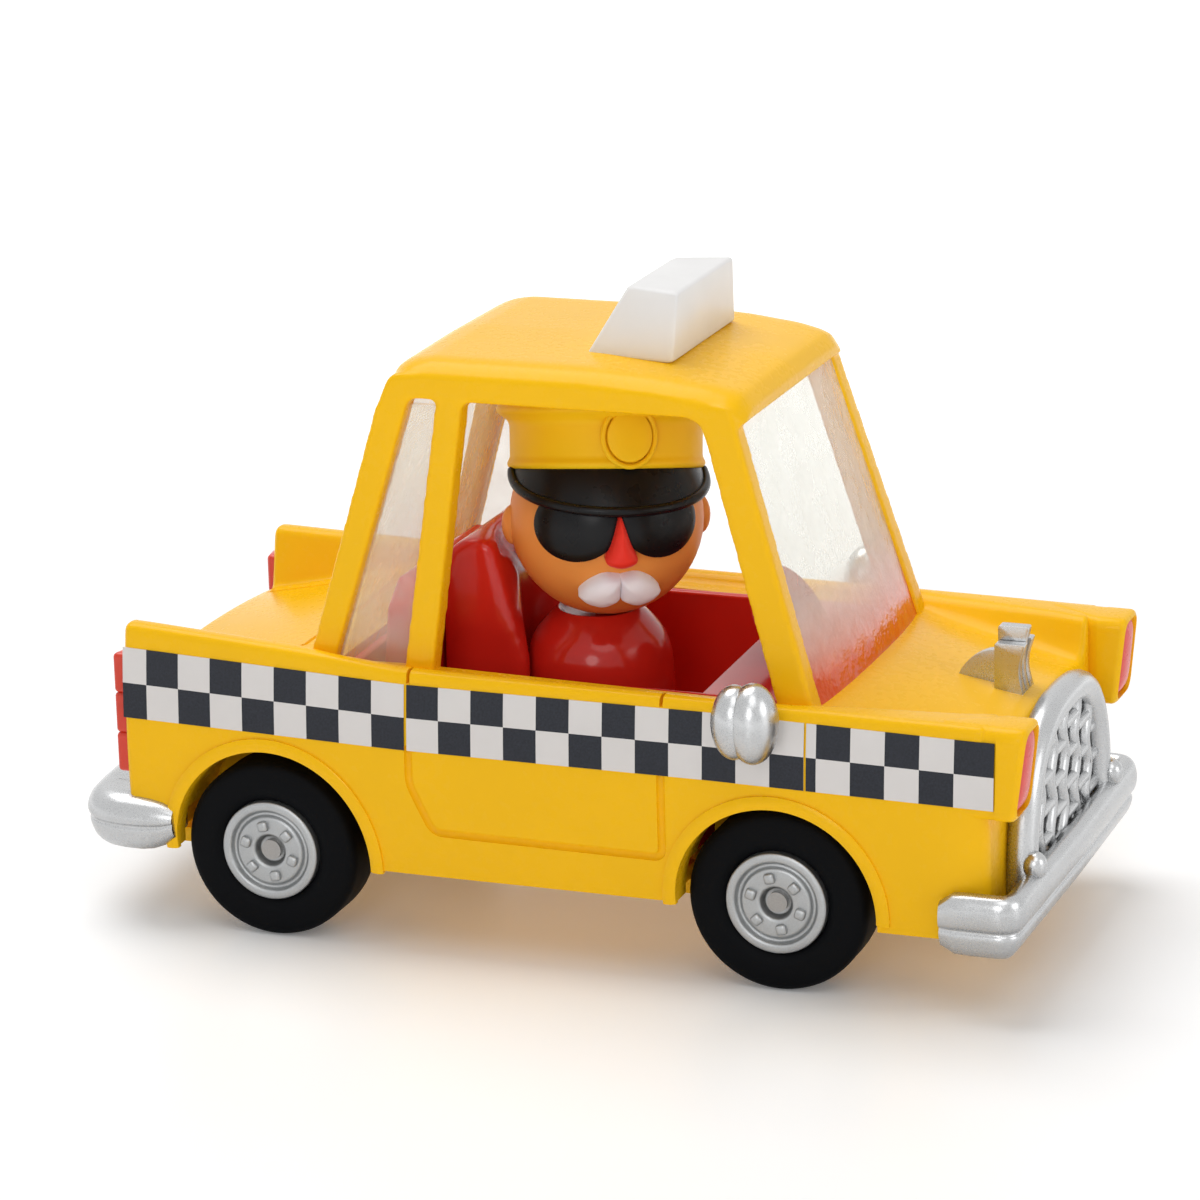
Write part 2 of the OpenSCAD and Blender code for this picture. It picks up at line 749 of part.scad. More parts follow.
// Base plate: a keel with bearing blocks and walls behind the wheels, and a raised floor under the tub
module base_plate() {
    rear_in = rear_axle_x + rear_arch_r + wheel_gap;
    front_in = front_axle_x - front_arch_r - wheel_gap;
    color(yellow) difference() {
        union() {
            translate([base_rear_x, -base_waist / 2, base_z])
                cube([base_front_x - base_rear_x, base_waist, base_t]);
            translate([rear_in, -base_half, base_top]) cube([front_in - rear_in, 2 * base_half, floor_t]);
            for (x = [rear_axle_x, front_axle_x]) translate([x, 0, base_top]) {
                translate([-bearing_l / 2, -base_waist / 2, 0])
                    cube([bearing_l, base_waist, axle_z + axle_d - base_top]);
                both_sides() translate([-well_wall_l / 2, base_waist / 2 - wall, 0])
                    cube([well_wall_l, wall, well_wall_h]);
            }
            for (x = [rear_in, front_in - wall])
                translate([x, -rib_half, base_top]) cube([wall, 2 * rib_half, tub_z - base_top]);
        }
        for (x = [rear_axle_x, front_axle_x])
            translate([x, 0, axle_z]) pin_across(axle_d / 2 + axle_clear, -body_w, body_w);
        for (x = [front_boss_x, rear_boss_x]) translate([x, 0, base_z]) {
            translate([0, 0, -over]) cylinder(d = screw_d + 2 * press_gap, h = base_t + 2 * over);
            translate([0, 0, -over]) cylinder(d = screw_head_d + 2 * press_gap, h = screw_head_h + over);
        }
    }
}

// Screws with a cross slot
slot_w = 0.5;
slot_deep = 0.5;
module base_screws() {
    color(silver) for (x = [front_boss_x, rear_boss_x]) translate([x, 0, base_z]) difference() {
        union() {
            cylinder(d = screw_head_d, h = screw_head_h);
            cylinder(d = screw_d, h = base_t + screw_l);
        }
        for (turn = [0, 90]) rotate([0, 0, turn])
            translate([-screw_d / 2, -slot_w / 2, -over]) cube([screw_d, slot_w, over + slot_deep]);
    }
}

// A bumper's section: an upper bulge, a crease and a lower facet, as shares of its depth and height
bumper_shares = [
    [0, 0.16], [0.45, 0], [0.86, 0.24], [0.8, 0.44],
    [1, 0.66], [0.74, 0.92], [0.3, 1], [0, 1]];
function bumper_outline(deep, high) = [for (p = bumper_shares) [deep * p[0], high * p[1]]];

// A bar across the end of the car with two rounded corners and two arms
module bumper_form(face_x, half, deep, high, wrap) {
    corner = half - deep;
    outline = bumper_outline(deep, high);
    translate([face_x - deep, 0, 0]) {
        across(corner) polygon(outline);
        both_sides() translate([0, corner, 0]) {
            rotate_extrude(angle = 90) polygon(outline);
            translate([-wrap, 0, 0]) rotate([90, 0, 90]) linear_extrude(wrap) polygon(outline);
        }
    }
}

// Front bumper, cut to the nose
module front_bumper() {
    deep = bumper_front_x - nose_x;
    color(silver) translate([0, 0, front_bumper_z]) difference() {
        bumper_form(bumper_front_x, half_w + bumper_proud, deep, front_bumper_h, front_bumper_wrap);
        translate([0, 0, -front_bumper_z]) {
            body_form(press_gap);
            translate([base_rear_x, -half_w, 0]) cube([nose_x - base_rear_x, body_w, fin_z]);
        }
    }
}

// Rear bumper, cut to the tail
module rear_bumper() {
    color(silver) translate([0, 0, rear_bumper_z]) difference() {
        mirror([1, 0, 0]) bumper_form(
            -bumper_rear_x, tail_w / 2 + bumper_proud, rear_bumper_reach, rear_bumper_h, rear_bumper_wrap);
        translate([0, 0, -rear_bumper_z]) {
            body_form(press_gap);
            translate([tail_x, -tail_w / 2, 0]) cube([wheelbase, tail_w, fin_z]);
        }
    }
}

// Arched surround, back plate, upright bars and staggered short bars
grille_plate = 0.8;
grille_rung_h = 1.1;
grille_rungs = 3;
module grille() {
    low = front_bumper_z + front_bumper_h;
    inner = grille_r - grille_rim;
    pitch = 2 * inner / (grille_bars + 1);
    rung = (inner - grille_rim) / grille_rungs;
    color(silver) intersection() {
        translate([0, 0, low]) rotate([90, 0, 90]) {
            difference() {
                cylinder(r = grille_r, h = grille_deep);
                translate([0, 0, grille_plate]) cylinder(r = inner, h = grille_deep);
            }
            intersection() {
                cylinder(r = inner, h = grille_deep);
                union() {
                    for (i = [1:grille_bars])
                        translate([i * pitch - inner - grille_bar_w / 2, 0, 0])
                            cube([grille_bar_w, grille_r, grille_deep - grille_plate]);
                    for (i = [0:grille_bars], k = [0:grille_rungs - 1])
                        translate([i * pitch - inner, (k + (i % 2 + 1) / 2) * rung, 0])
                            cube([pitch, grille_rung_h, grille_deep - 2 * grille_plate]);
                }
            }
        }
        translate([0, -body_w, low]) cube([wheelbase, 2 * body_w, fin_z]);
    }
}

// Lens that fills a lamp pod's recess and crowns out of it
module headlamp() {
    wide = lens_w - 2 * seat_gap;
    high = lens_h - 2 * seat_gap;
    r = (high * high / 4 + lens_crown * lens_crown) / (2 * lens_crown);
    color([0.9, 0.35, 0.33])
        translate([pod_x - pod_recess, ridge_in + pod_border, pod_z - pod_h + pod_border])
            translate([0, seat_gap, seat_gap]) intersection() {
                cube([pod_recess, wide, high]);
                translate([pod_recess - r, -over, high / 2]) pin_across(r, 0, wide + 2 * over);
            }
}

// Three steps on the end of a fin
tail_lamp_steps = 3;
tail_lamp_top = 1.3;
tail_lamp_in = 0.5;
module tail_lamp() {
    step = tail_lamp_h / tail_lamp_steps;
    low = fin_z - tail_lamp_top - tail_lamp_h;
    color(red) for (i = [0:tail_lamp_steps - 1])
        translate([tail_x - tail_lamp_deep, tail_w / 2 - tail_lamp_in - tail_lamp_w, low + i * step])
            lamp_step(step);
    color(red) translate([tail_x - tail_lamp_deep / 2, tail_w / 2 - tail_lamp_in - tail_lamp_w, low])
        cube([tail_lamp_deep / 2, tail_lamp_w, tail_lamp_h]);
}

// One step of a tail lamp, its outer edges cut back
module lamp_step(step) {
    bevel = tail_lamp_deep / 2;
    translate([0, tail_lamp_w, 0]) rotate([90, 0, 0]) linear_extrude(tail_lamp_w) polygon([
        [tail_lamp_deep, 0], [tail_lamp_deep, step], [bevel, step],
        [0, step - bevel], [0, bevel], [bevel, 0]]);
}

// Everything under the hood's bed
module hood_bed() {
    across(ridge_in) polygon([
        [screen_foot - wall, 0], [nose_x, 0], [nose_x, hood_nose_z], [screen_foot - wall, hood_rear_z]]);
}

// Upright of three plates with a quarter-round fin behind it
ornament_back = 5.3;
ornament_x = nose_x - ornament_back;
ornament_step = 0.8;
ornament_sink = 1.2;
module hood_ornament() {
    top = hood_nose_z + ornament_sink + ornament_h;
    color(silver) difference() {
        union() {
            for (i = [-1:1])
                translate([ornament_x, i * ornament_plate - ornament_plate / 2, hood_nose_z])
                    cube([ornament_l + (1 - abs(i)) * ornament_step, ornament_plate,
                          top - hood_nose_z - abs(i) * ornament_step]);
            intersection() {
                translate([ornament_x, 0, hood_nose_z + ornament_sink / 2])
                    pin_across(ornament_fin_r, -ornament_fin_t / 2, ornament_fin_t / 2);
                translate([ornament_x - ornament_fin_r, -ornament_fin_t, hood_nose_z])
                    cube([ornament_fin_r, 2 * ornament_fin_t, ornament_fin_r]);
            }
        }
        crowned(screen_foot - wall, hood_rear_z, nose_x, hood_nose_z, ridge_in, hood_crown);
        hood_bed();
    }
}

// Two turned lobes side by side on a short arm
mirror_back = 5;
mirror_x = screen_foot - mirror_back;
mirror_out = 2.6;
mirror_foot = 2.6;
lobe_overlap = 0.5;
lobe_points = 8;
module mirror_half() {
    rotate([0, 90, 0]) rotate_extrude() polygon([for (i = [0:lobe_points]) [
        mirror_h / 2 * sin(180 * i / lobe_points), -mirror_lobe / 2 * cos(180 * i / lobe_points)]]);
}

module wing_mirror() {
    middle_y = half_w + mirror_out;
    color(silver) difference() {
        union() {
            for (side = [-1, 1])
                translate([mirror_x + side * (mirror_lobe / 2 - lobe_overlap), middle_y, cowl_z])
                    mirror_half();
            translate([mirror_x, 0, cowl_z])
                pin_across(mirror_arm_d / 2, half_w - mirror_foot, middle_y);
        }
        body_form(film_t + seat_gap);
    }
}

// White wedge on the roof, its foot cut to the roof
sign_back = 8.6;
sign_front_x = screen_head - sign_back;
sign_taper = 1.2;
sign_sink = 1.5;
module roof_sign() {
    foot = roof_z - sign_sink;
    top = roof_z + sign_h;
    color(white) difference() {
        intersection() {
            across(sign_w) polygon([
                [sign_front_x - sign_l, foot], [sign_front_x, foot], [sign_front_x, top],
                [sign_front_x - sign_top_l, top]]);
            along(0, wheelbase) polygon(mirrored([[sign_w / 2, foot], [sign_w / 2 - sign_taper, top]]));
            linear_extrude(2 * roof_z) polygon([
                [sign_front_x - sign_l, -sign_w / 2 + sign_taper], [sign_front_x, -sign_w / 2],
                [sign_front_x, sign_w / 2], [sign_front_x - sign_l, sign_w / 2 - sign_taper]]);
        }
        cabin_form();
    }
}

// Printed film on one side, from one station to another
module film(from, to) {
    color(white) difference() {
        intersection() {
            body_form(film_t);
            translate([from, 0, band_z]) cube([to - from, body_w, band_h]);
        }
        body_form();
    }
}

// Bell-shaped torso with a collar and the pin that the head turns on
torso_shoulder_share = 0.3;
torso_collar_share = 0.28;
collar_h = 0.6;
module driver_torso() {
    foot = cushion_z;
    waist = torso_d / 2;
    shoulder = torso_d * torso_shoulder_share;
    collar = torso_d * torso_collar_share;
    color(red) {
        translate([torso_x, 0, 0]) rotate_extrude() polygon(concat(
            [[0, foot], [waist, foot]],
            arc(waist - shoulder, torso_z - collar_h - shoulder, shoulder, 0, 90),
            [[collar, torso_z - collar_h], [collar, torso_z], [0, torso_z]]));
        translate([neck_x, 0, torso_z - collar_h])
            cylinder(d = neck_pin_d, h = neck_pin_l + collar_h + head_clear);
    }
}

// Places a piece on the head: its front looks along +X before the head is turned
module on_head() {
    translate([neck_x, 0, head_z]) rotate([0, 0, -head_turn]) children();
}

// Round head with ears, a bore for the neck pin and a spigot for the cap
module head() {
    lift = cap_z - head_z;
    color([0.86, 0.52, 0.28]) on_head() difference() {
        union() {
            intersection() {
                union() {
                    sphere(r = head_d / 2);
                    for (side = [-1, 1]) translate([0, side * (head_d / 2 + ear_out - ear_r), -ear_r])
                        sphere(r = ear_r);
                }
                translate([-head_d, -head_d, -head_d]) cube([2 * head_d, 2 * head_d, head_d + lift]);
            }
            cylinder(d = spigot_d, h = lift + spigot_h);
        }
        translate([0, 0, -head_d])
            cylinder(d = neck_pin_d + 2 * axle_clear, h = head_d / 2 + neck_pin_l + 2 * head_clear);
    }
}

// Cap: a beaded band, a straight crown and a flared top, with a blank round badge in front
bead_r = 0.5;
crown_in = 0.5;
flare_share = 0.6;
badge_d = 5.2;
badge_out = 0.35;
module cap() {
    lift = cap_z - head_z;
    crown_r = cap_d / 2 - crown_in;
    color(yellow) on_head() translate([0, 0, lift]) difference() {
        union() {
            rotate_extrude() polygon(concat(
                [[0, 0], [crown_r, 0]],
                arc(crown_r, 2 * bead_r, bead_r, -90, 90),
                [[crown_r, flare_share * cap_h], [cap_top_d / 2, cap_h - 2 * bead_r]],
                arc(cap_top_d / 2 - bead_r, cap_h - bead_r, bead_r, 0, 90),
                [[0, cap_h]]));
            intersection() {
                cylinder(r = crown_r + badge_out, h = cap_h - 2 * bead_r);
                translate([0, 0, cap_h / 2 + bead_r]) rotate([0, 90, 0]) cylinder(d = badge_d, h = cap_d);
            }
        }
        translate([0, 0, -over]) cylinder(d = spigot_d + 2 * press_gap, h = spigot_h + press_gap + over);
    }
}

// Visor: a slanting skirt round the front of the band, its ends cut away to a crescent
visor_sweep = 150;
visor_lean = 32;
module visor() {
    lift = cap_z - head_z;
    root = cap_d / 2 - crown_in;
    color(black) on_head() difference() {
        rotate([0, 0, -visor_sweep / 2]) rotate_extrude(angle = visor_sweep) polygon([
            [root - visor_t, lift], [root, lift], [root + visor_reach, lift - visor_drop + visor_t],
            [root + visor_reach, lift - visor_drop], [root + visor_reach - visor_t, lift - visor_drop],
            [root - visor_t, lift - visor_t]]);
        sphere(r = head_d / 2 + press_gap);
        translate([0, 0, lift - visor_t]) rotate([0, visor_lean, 0])
            translate([-head_d, -head_d, -head_d]) cube([2 * head_d, 2 * head_d, head_d]);
    }
}

// Lenses stop under the visor
lens_cut = 0.2;
function lens_top() = cap_z - head_z - visor_drop - lens_cut;

// The two rounds that the lenses are cut to, wider by gap all round
lens_apart = 8.6;
lens_lift_share = 0.04;
module lens_rounds(gap = 0) {
    both_sides() translate([0, lens_apart / 2, head_d * lens_lift_share])
        rotate([0, 90, 0]) cylinder(d = lens_d + 2 * gap, h = head_d);
}

// Two round lenses on the face and the bridge between them
bridge_h = 1;
module sunglasses() {
    lift = head_d * lens_lift_share;
    color(black) on_head() difference() {
        intersection() {
            sphere(r = head_d / 2 + lens_t);
            union() {
                lens_rounds();
                translate([0, -lens_apart / 2, lift - bridge_h / 2]) cube([head_d, lens_apart, bridge_h]);
            }
            translate([0, -head_d, -head_d]) cube([head_d, 2 * head_d, head_d + lens_top()]);
        }
        sphere(r = head_d / 2 + press_gap);
    }
}

// Nose that tapers upwards between the lenses
nose_r = 2;
nose_tip_r = 0.5;
nose_l = 4.4;
nose_low = 4.2;
nose_face = 9.6;
module nose() {
    color(red) on_head() difference() {
        translate([nose_face, 0, -nose_low]) cylinder(r1 = nose_r, r2 = nose_tip_r, h = nose_l);
        sphere(r = head_d / 2 + press_gap);
        lens_rounds(seat_gap);
    }
}

// Moustache of two drooping lobes under the nose
moustache_r = 1.6;
moustache_l = 3.2;
moustache_low = 5.9;
moustache_face = 7.6;
moustache_tilt = 14;
module moustache() {
    color(white) on_head() difference() {
        both_sides() translate([moustache_face, 0, -moustache_low])
            rotate([-90 - moustache_tilt, 0, moustache_tilt]) translate([0, 0, moustache_r / 2]) {
                sphere(r = moustache_r);
                cylinder(r = moustache_r, h = moustache_l);
                translate([0, 0, moustache_l]) sphere(r = moustache_r);
            }
        sphere(r = head_d / 2 + press_gap);
        translate([0, -head_d, -nose_low - press_gap]) cube([head_d, 2 * head_d, head_d]);
    }
}

// Axle pin, flush with the dish of the hubs
module axle(x) {
    half = hub_face - hub_dish;
    color(silver) translate([x, 0, axle_z]) pin_across(axle_d / 2, -half, half);
}

// Hub with a raised rim, a dish, a ring of holes and a bored boss
hole_ring_share = 0.66;
module hub(x) {
    r = hub_d / 2;
    wide = tyre_out - tyre_in;
    color(silver) translate([x, 0, axle_z]) difference() {
        pin_across(r, tyre_in, hub_face);
        translate([0, hub_face - hub_dish, 0]) pin_across(r - hub_rim_w, 0, wide);
        pin_across(axle_d / 2 + press_gap, 0, hub_face + over);
        for (i = [0:hub_holes - 1]) rotate([0, i * 360 / hub_holes, 0])
            translate([hole_ring_share * r, hub_face - hub_dish - hub_hole_deep, 0])
                pin_across(hub_hole_d / 2, 0, wide);
    }
}

// Plain tyre with rounded shoulders
module tyre(x) {
    r = tyre_d / 2;
    color(black) translate([x, tyre_out, axle_z]) rotate([90, 0, 0]) rotate_extrude() polygon(concat(
        [[hub_d / 2 + press_gap, 0]],
        arc(r - tyre_round, tyre_round, tyre_round, -90, 0),
        arc(r - tyre_round, tyre_w - tyre_round, tyre_round, 0, 90),
        [[hub_d / 2 + press_gap, tyre_w]]));
}

// The right side is -Y
module right() {
    mirror([0, 1, 0]) children();
}

place() body_shell();
place() cabin_frame();
place() window_glass();
place() interior_tub();
place() front_seat();
place() rear_seat();
place() steering_wheel();
place() base_plate();
place() base_screws();
place() front_bumper();
place() rear_bumper();
place() translate([nose_x, 0, 0]) grille();
place() right() headlamp();  // headlamp_right
place() headlamp();  // headlamp_left
place() right() tail_lamp();  // tail_lamp_right
place() tail_lamp();  // tail_lamp_left
place() hood_ornament();
place() right() wing_mirror();  // mirror_right
place() wing_mirror();  // mirror_left
place() roof_sign();
place() right() film(tail_x, door_rear_x - film_split);  // band_rear_right
place() film(tail_x, door_rear_x - film_split);  // band_rear_left
place() right() film(door_rear_x, door_front_x - film_split);  // band_door_right
place() film(door_rear_x, door_front_x - film_split);  // band_door_left
place() right() film(door_front_x, band_front_x);  // band_front_right
place() film(door_front_x, band_front_x);  // band_front_left
place() driver_torso();
place() head();
place() cap();
place() visor();
place() sunglasses();
place() nose();
place() moustache();
place() axle(front_axle_x);  // front_axle
place() axle(rear_axle_x);  // rear_axle
place() right() hub(front_axle_x);  // hub_front_right
place() hub(front_axle_x);  // hub_front_left
place() right() hub(rear_axle_x);  // hub_rear_right
place() hub(rear_axle_x);  // hub_rear_left
place() right() tyre(front_axle_x);  // tyre_front_right
place() tyre(front_axle_x);  // tyre_front_left
place() right() tyre(rear_axle_x);  // tyre_rear_right
place() tyre(rear_axle_x);  // tyre_rear_left
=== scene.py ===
import json
import math

import bmesh
import bpy
from mathutils import Matrix, Vector


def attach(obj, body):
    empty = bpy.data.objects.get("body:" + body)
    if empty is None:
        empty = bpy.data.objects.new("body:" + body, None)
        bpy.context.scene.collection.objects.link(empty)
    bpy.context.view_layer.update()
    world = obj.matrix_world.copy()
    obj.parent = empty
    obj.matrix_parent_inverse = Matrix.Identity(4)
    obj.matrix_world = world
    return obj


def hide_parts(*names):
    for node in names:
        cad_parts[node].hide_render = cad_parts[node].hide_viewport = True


bl_info = {
    "name": "Toy Taxi",
    "version": (1, 0, 0),
    "blender": (4, 5, 0),
    "location": "View3D > Sidebar > Taxi",
    "description": "Models and finishes the pieces of a cast toy taxi round its packed frame",
    "category": "Object",
}

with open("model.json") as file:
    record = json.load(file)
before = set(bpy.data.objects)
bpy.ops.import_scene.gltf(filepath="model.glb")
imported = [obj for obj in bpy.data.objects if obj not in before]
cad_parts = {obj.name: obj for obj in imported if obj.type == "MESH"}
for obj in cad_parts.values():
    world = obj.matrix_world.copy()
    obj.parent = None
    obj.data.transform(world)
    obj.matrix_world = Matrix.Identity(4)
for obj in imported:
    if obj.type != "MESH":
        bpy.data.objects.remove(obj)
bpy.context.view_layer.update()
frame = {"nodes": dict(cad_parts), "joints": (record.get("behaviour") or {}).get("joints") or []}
JOINTS = {joint["name"]: joint for joint in frame["joints"]}

# Drawing units are millimetres, and stations run along the car from the middle of the wheelbase
MM = 0.001
FRONT_HUB = Vector(JOINTS["front_axle_spin"]["pos_m"])
REAR_HUB = Vector(JOINTS["rear_axle_spin"]["pos_m"])
NECK = Vector(JOINTS["head_turn"]["pos_m"])
MIDDLE = (FRONT_HUB.x + REAR_HUB.x) / 2
FRONT_AXLE = (FRONT_HUB.x - MIDDLE) / MM
REAR_AXLE = (REAR_HUB.x - MIDDLE) / MM
AXLE_Z = FRONT_HUB.z / MM
NECK_X = (NECK.x - MIDDLE) / MM
HEAD_MID = 39.6
SIDES = {"right": -1, "left": 1}


def length(name, description, millimetres):
    """A size that shows in the sidebar with its unit."""
    return bpy.props.FloatProperty(
        name=name, description=description, default=millimetres * MM, unit="LENGTH", precision=5)


def angle(name, description, degrees):
    """An angle that shows in the sidebar in degrees."""
    return bpy.props.FloatProperty(
        name=name, description=description, default=math.radians(degrees), subtype="ANGLE")


def colour(name, description, rgb):
    """A colour that shows in the sidebar."""
    return bpy.props.FloatVectorProperty(
        name=name, description=description, default=rgb, subtype="COLOR", min=0, max=1)


class TaxiColours(bpy.types.PropertyGroup):
    """Colours of the finishes"""
    yellow: colour("Yellow", "Enamel of the casting", (0.96, 0.53, 0.006))
    cap_yellow: colour("Cap yellow", "Moulded plastic of the cap", (1.0, 0.6, 0.008))
    red: colour("Red", "Moulded plastic inside the cabin", (0.7, 0.024, 0.014))
    lamp: colour("Lamp", "Lens of a headlamp", (0.78, 0.1, 0.085))
    tail: colour("Tail lamp", "Lens of a tail lamp", (0.68, 0.045, 0.018))
    silver: colour("Silver", "Plating of the trim", (0.5, 0.505, 0.51))
    hub: colour("Hub", "Silver paint of the hubs", (0.4, 0.41, 0.415))
    tyre: colour("Tyre", "Rubber of the tyres", (0.002, 0.0023, 0.003))
    black: colour("Black", "Visor and sunglasses", (0.006, 0.006, 0.007))
    white: colour("White", "Roof sign and moustache", (0.83, 0.82, 0.81))
    skin: colour("Skin", "Plastic of the head", (0.9, 0.34, 0.075))
    film_dark: colour("Dark square", "Ink of the chequer film", (0.014, 0.016, 0.023))
    film_light: colour("Light square", "Ground of the chequer film", (0.72, 0.69, 0.67))
    glass: colour("Glazing", "Clear moulding of the windows", (0.95, 0.95, 0.88))
    floor: colour("Floor", "Paper that the car stands on", (0.97, 0.97, 0.97))


class TaxiBody(bpy.types.PropertyGroup):
    """Sizes of the casting"""
    front_arch: length("Front arch", "Radius of the front wheel arches", 9.9)
    rear_arch: length("Rear arch", "Radius of the rear wheel arches", 10.5)
    lip_w: length("Lip width", "Width of the raised lip round an arch", 1.3)
    lip_h: length("Lip height", "Height of the lip over the side", 0.4)
    edge: length("Edge", "Round of the crest's edges", 0.9)
    end_round: length("End round", "Round of the nose and the tail", 0.7)
    seam_w: length("Seam width", "Width of an engraved seam", 0.44)
    pod_low: length("Pod foot", "Height of the lower edge of a lamp pod", 19.5)
    pod_wide: length("Pod width", "Width of a lamp pod", 6)
    pod_border: length("Pod border", "Border of a pod round its lens", 0.5)
    pod_recess: length("Pod recess", "Depth of a pod's recess", 1.3)


class TaxiCabin(bpy.types.PropertyGroup):
    """Sizes of the roof, pillars and glazing"""
    plate: length("Pillar depth", "Depth of the pillars across the car", 2.5)
    voxel: length("Blend", "Fineness of the blended casting", 0.25)
    glass_t: length("Glazing", "Thickness of the glazing", 0.9)


class TaxiTrim(bpy.types.PropertyGroup):
    """Sizes of the silvered trim, sign and film"""
    grille_r: length("Grille", "Half width of the grille's arch", 13.6)
    grille_tube: length("Grille tube", "Radius of the grille's surround", 1.5)
    bar_r: length("Grille bar", "Radius of an upright bar", 0.8)
    film_t: length("Film", "Thickness of the printed film", 0.1)
    sign_round: length("Sign edge", "Round of the roof sign's edges", 0.4)


class TaxiWheels(bpy.types.PropertyGroup):
    """Sizes of the wheels"""
    tyre_d: length("Tyre", "Outer diameter of a tyre", 17.8)
    tyre_w: length("Tyre width", "Width of a tyre", 6.2)
    hub_d: length("Hub", "Diameter of a hub", 10.2)
    hub_face: length("Hub face", "Distance of a hub's face from the middle", 20)
    stud: length("Stud", "Width of the small studs round a hub", 1.05)


class TaxiDriver(bpy.types.PropertyGroup):
    """Sizes of the driver"""
    head_d: length("Head", "Diameter of the head", 19)
    turn: angle("Turn", "Angle of the head to the right of straight ahead", 62)
    tilt: angle("Tilt", "Angle by which the cap is pushed back", 14)
    roll: angle("Roll", "Angle by which the cap hangs to its left", 2.8)
    cap_d: length("Cap", "Diameter of the cap's crown", 18.9)
    cap_top_d: length("Cap top", "Diameter of the cap's flared top", 21.8)
    cap_h: length("Cap height", "Height of the cap", 7.6)
    visor_reach: length("Visor reach", "Reach of the visor past the cap", 1.7)
    visor_drop: length("Visor drop", "Drop of the visor", 4.2)
    lens_t: length("Lens", "Thickness of the sunglasses", 0.7)


class TaxiStage(bpy.types.PropertyGroup):
    """The camera"""
    azimuth: angle("Azimuth", "Turn of the camera from a square side view", 20.627)
    elevation: angle("Elevation", "Height of the camera over the horizon", 16.482)
    roll: angle("Roll", "Turn of the camera about its own axis", -1.346)
    distance: length("Distance", "Distance of the camera from its target", 471.1)
    lens: bpy.props.FloatProperty(
        name="Lens", description="Focal length", default=144.05, unit="CAMERA")
    target: bpy.props.FloatVectorProperty(
        name="Target", description="Point that the camera looks at",
        default=(-0.598 * MM, 0, 31.039 * MM), subtype="TRANSLATION", precision=5)


GROUPS = {
    "taxi_colours": TaxiColours,
    "taxi_body": TaxiBody,
    "taxi_cabin": TaxiCabin,
    "taxi_trim": TaxiTrim,
    "taxi_wheels": TaxiWheels,
    "taxi_driver": TaxiDriver,
    "taxi_stage": TaxiStage,
}


class Drawing:
    """Reads a group of sizes in millimetres."""

    def __init__(self, group):
        self.group = getattr(bpy.context.scene, group)

    def __getattr__(self, name):
        return getattr(self.group, name) / MM


# Shapes

def grid(bm, rings):
    """Lays a grid of faces through rings of equally many points."""
    made = bmesh.ops.create_grid(bm, x_segments=len(rings[0]) - 1, y_segments=len(rings) - 1, size=1)
    for vert, point in zip(made["verts"], (point for ring in rings for point in ring)):
        vert.co = point
    return made["verts"]


def weld(bm, verts, gap=0.002):
    """Merges points that meet."""
    bmesh.ops.remove_doubles(bm, verts=verts, dist=gap)


def tube(bm, rings):
    """A closed skin round rings, with its ends filled."""
    verts = grid(bm, [list(ring) + [ring[0]] for ring in rings])
    around = len(rings[0])
    for end in (verts[:around], verts[-1 - around:-1]):
        edges = [bm.edges.get(pair) or bm.edges.new(pair) for pair in zip(end, end[1:] + end[:1])]
        bmesh.ops.triangle_fill(bm, use_beauty=True, use_dissolve=False, edges=edges)
    weld(bm, verts, 0.0005)


def turned(bm, profile, centre, axis, steps):
    """Spins a profile, given as points in space, all the way round an axis."""
    verts = [bm.verts.new(point) for point in profile]
    edges = [bm.edges.new(pair) for pair in zip(verts, verts[1:])]
    bmesh.ops.spin(
        bm, geom=verts + edges, cent=centre, axis=axis, angle=math.tau, steps=steps,
        use_merge=True, use_duplicate=False)


def soften(bm, edges, width, segments=3):
    """Rounds edges."""
    bmesh.ops.bevel(
        bm, geom=edges, offset=width, offset_type="OFFSET", segments=segments, profile=0.5,
        affect="EDGES", material=-1, clamp_overlap=True)


def creases(bm, degrees):
    """Edges at which the surface turns by more than an angle."""
    return [edge for edge in bm.edges
            if len(edge.link_faces) == 2 and edge.calc_face_angle(0) > math.radians(degrees)]


def edges_of(bm, verts):
    """Edges that run between given points."""
    return [edge for edge in bm.edges if all(vert in verts for vert in edge.verts)]


def block(bm, low, high):
    """A box between two corners."""
    low, high = Vector(low), Vector(high)
    made = bmesh.ops.create_cube(bm, size=1)
    bmesh.ops.scale(bm, vec=high - low, verts=made["verts"])
    bmesh.ops.translate(bm, vec=(low + high) / 2, verts=made["verts"])
    return made["verts"]


def ball(bm, centre, radii, segments):
    """An ellipsoid."""
    made = bmesh.ops.create_uvsphere(bm, u_segments=segments, v_segments=segments // 2, radius=1)
    bmesh.ops.scale(bm, vec=radii, verts=made["verts"])
    bmesh.ops.translate(bm, vec=centre, verts=made["verts"])


def new_shape(maker, *values):
    """A fresh shape from one of the functions here."""
    bm = bmesh.new()
    maker(bm, *values)
    return bm


def rounded(corners, steps):
    """Points along a chain of corners, each given as its place and the length it is cut back."""
    points = []
    for index, (place, cut) in enumerate(corners):
        place = Vector(place)
        if cut == 0 or index in (0, len(corners) - 1):
            points.append(place)
            continue
        before = Vector(corners[index - 1][0]) - place
        after = Vector(corners[index + 1][0]) - place
        start = place + before.normalized() * min(cut, before.length * 0.49)
        end = place + after.normalized() * min(cut, after.length * 0.49)
        for step in range(steps + 1):
            k = step / steps
            points.append(start * (1 - k) ** 2 + place * 2 * k * (1 - k) + end * k ** 2)
    return points


def loop(corners, steps):
    """The same for a closed outline."""
    chain = rounded([corners[-1]] + list(corners) + [corners[0]], steps)
    return chain[1:-1]


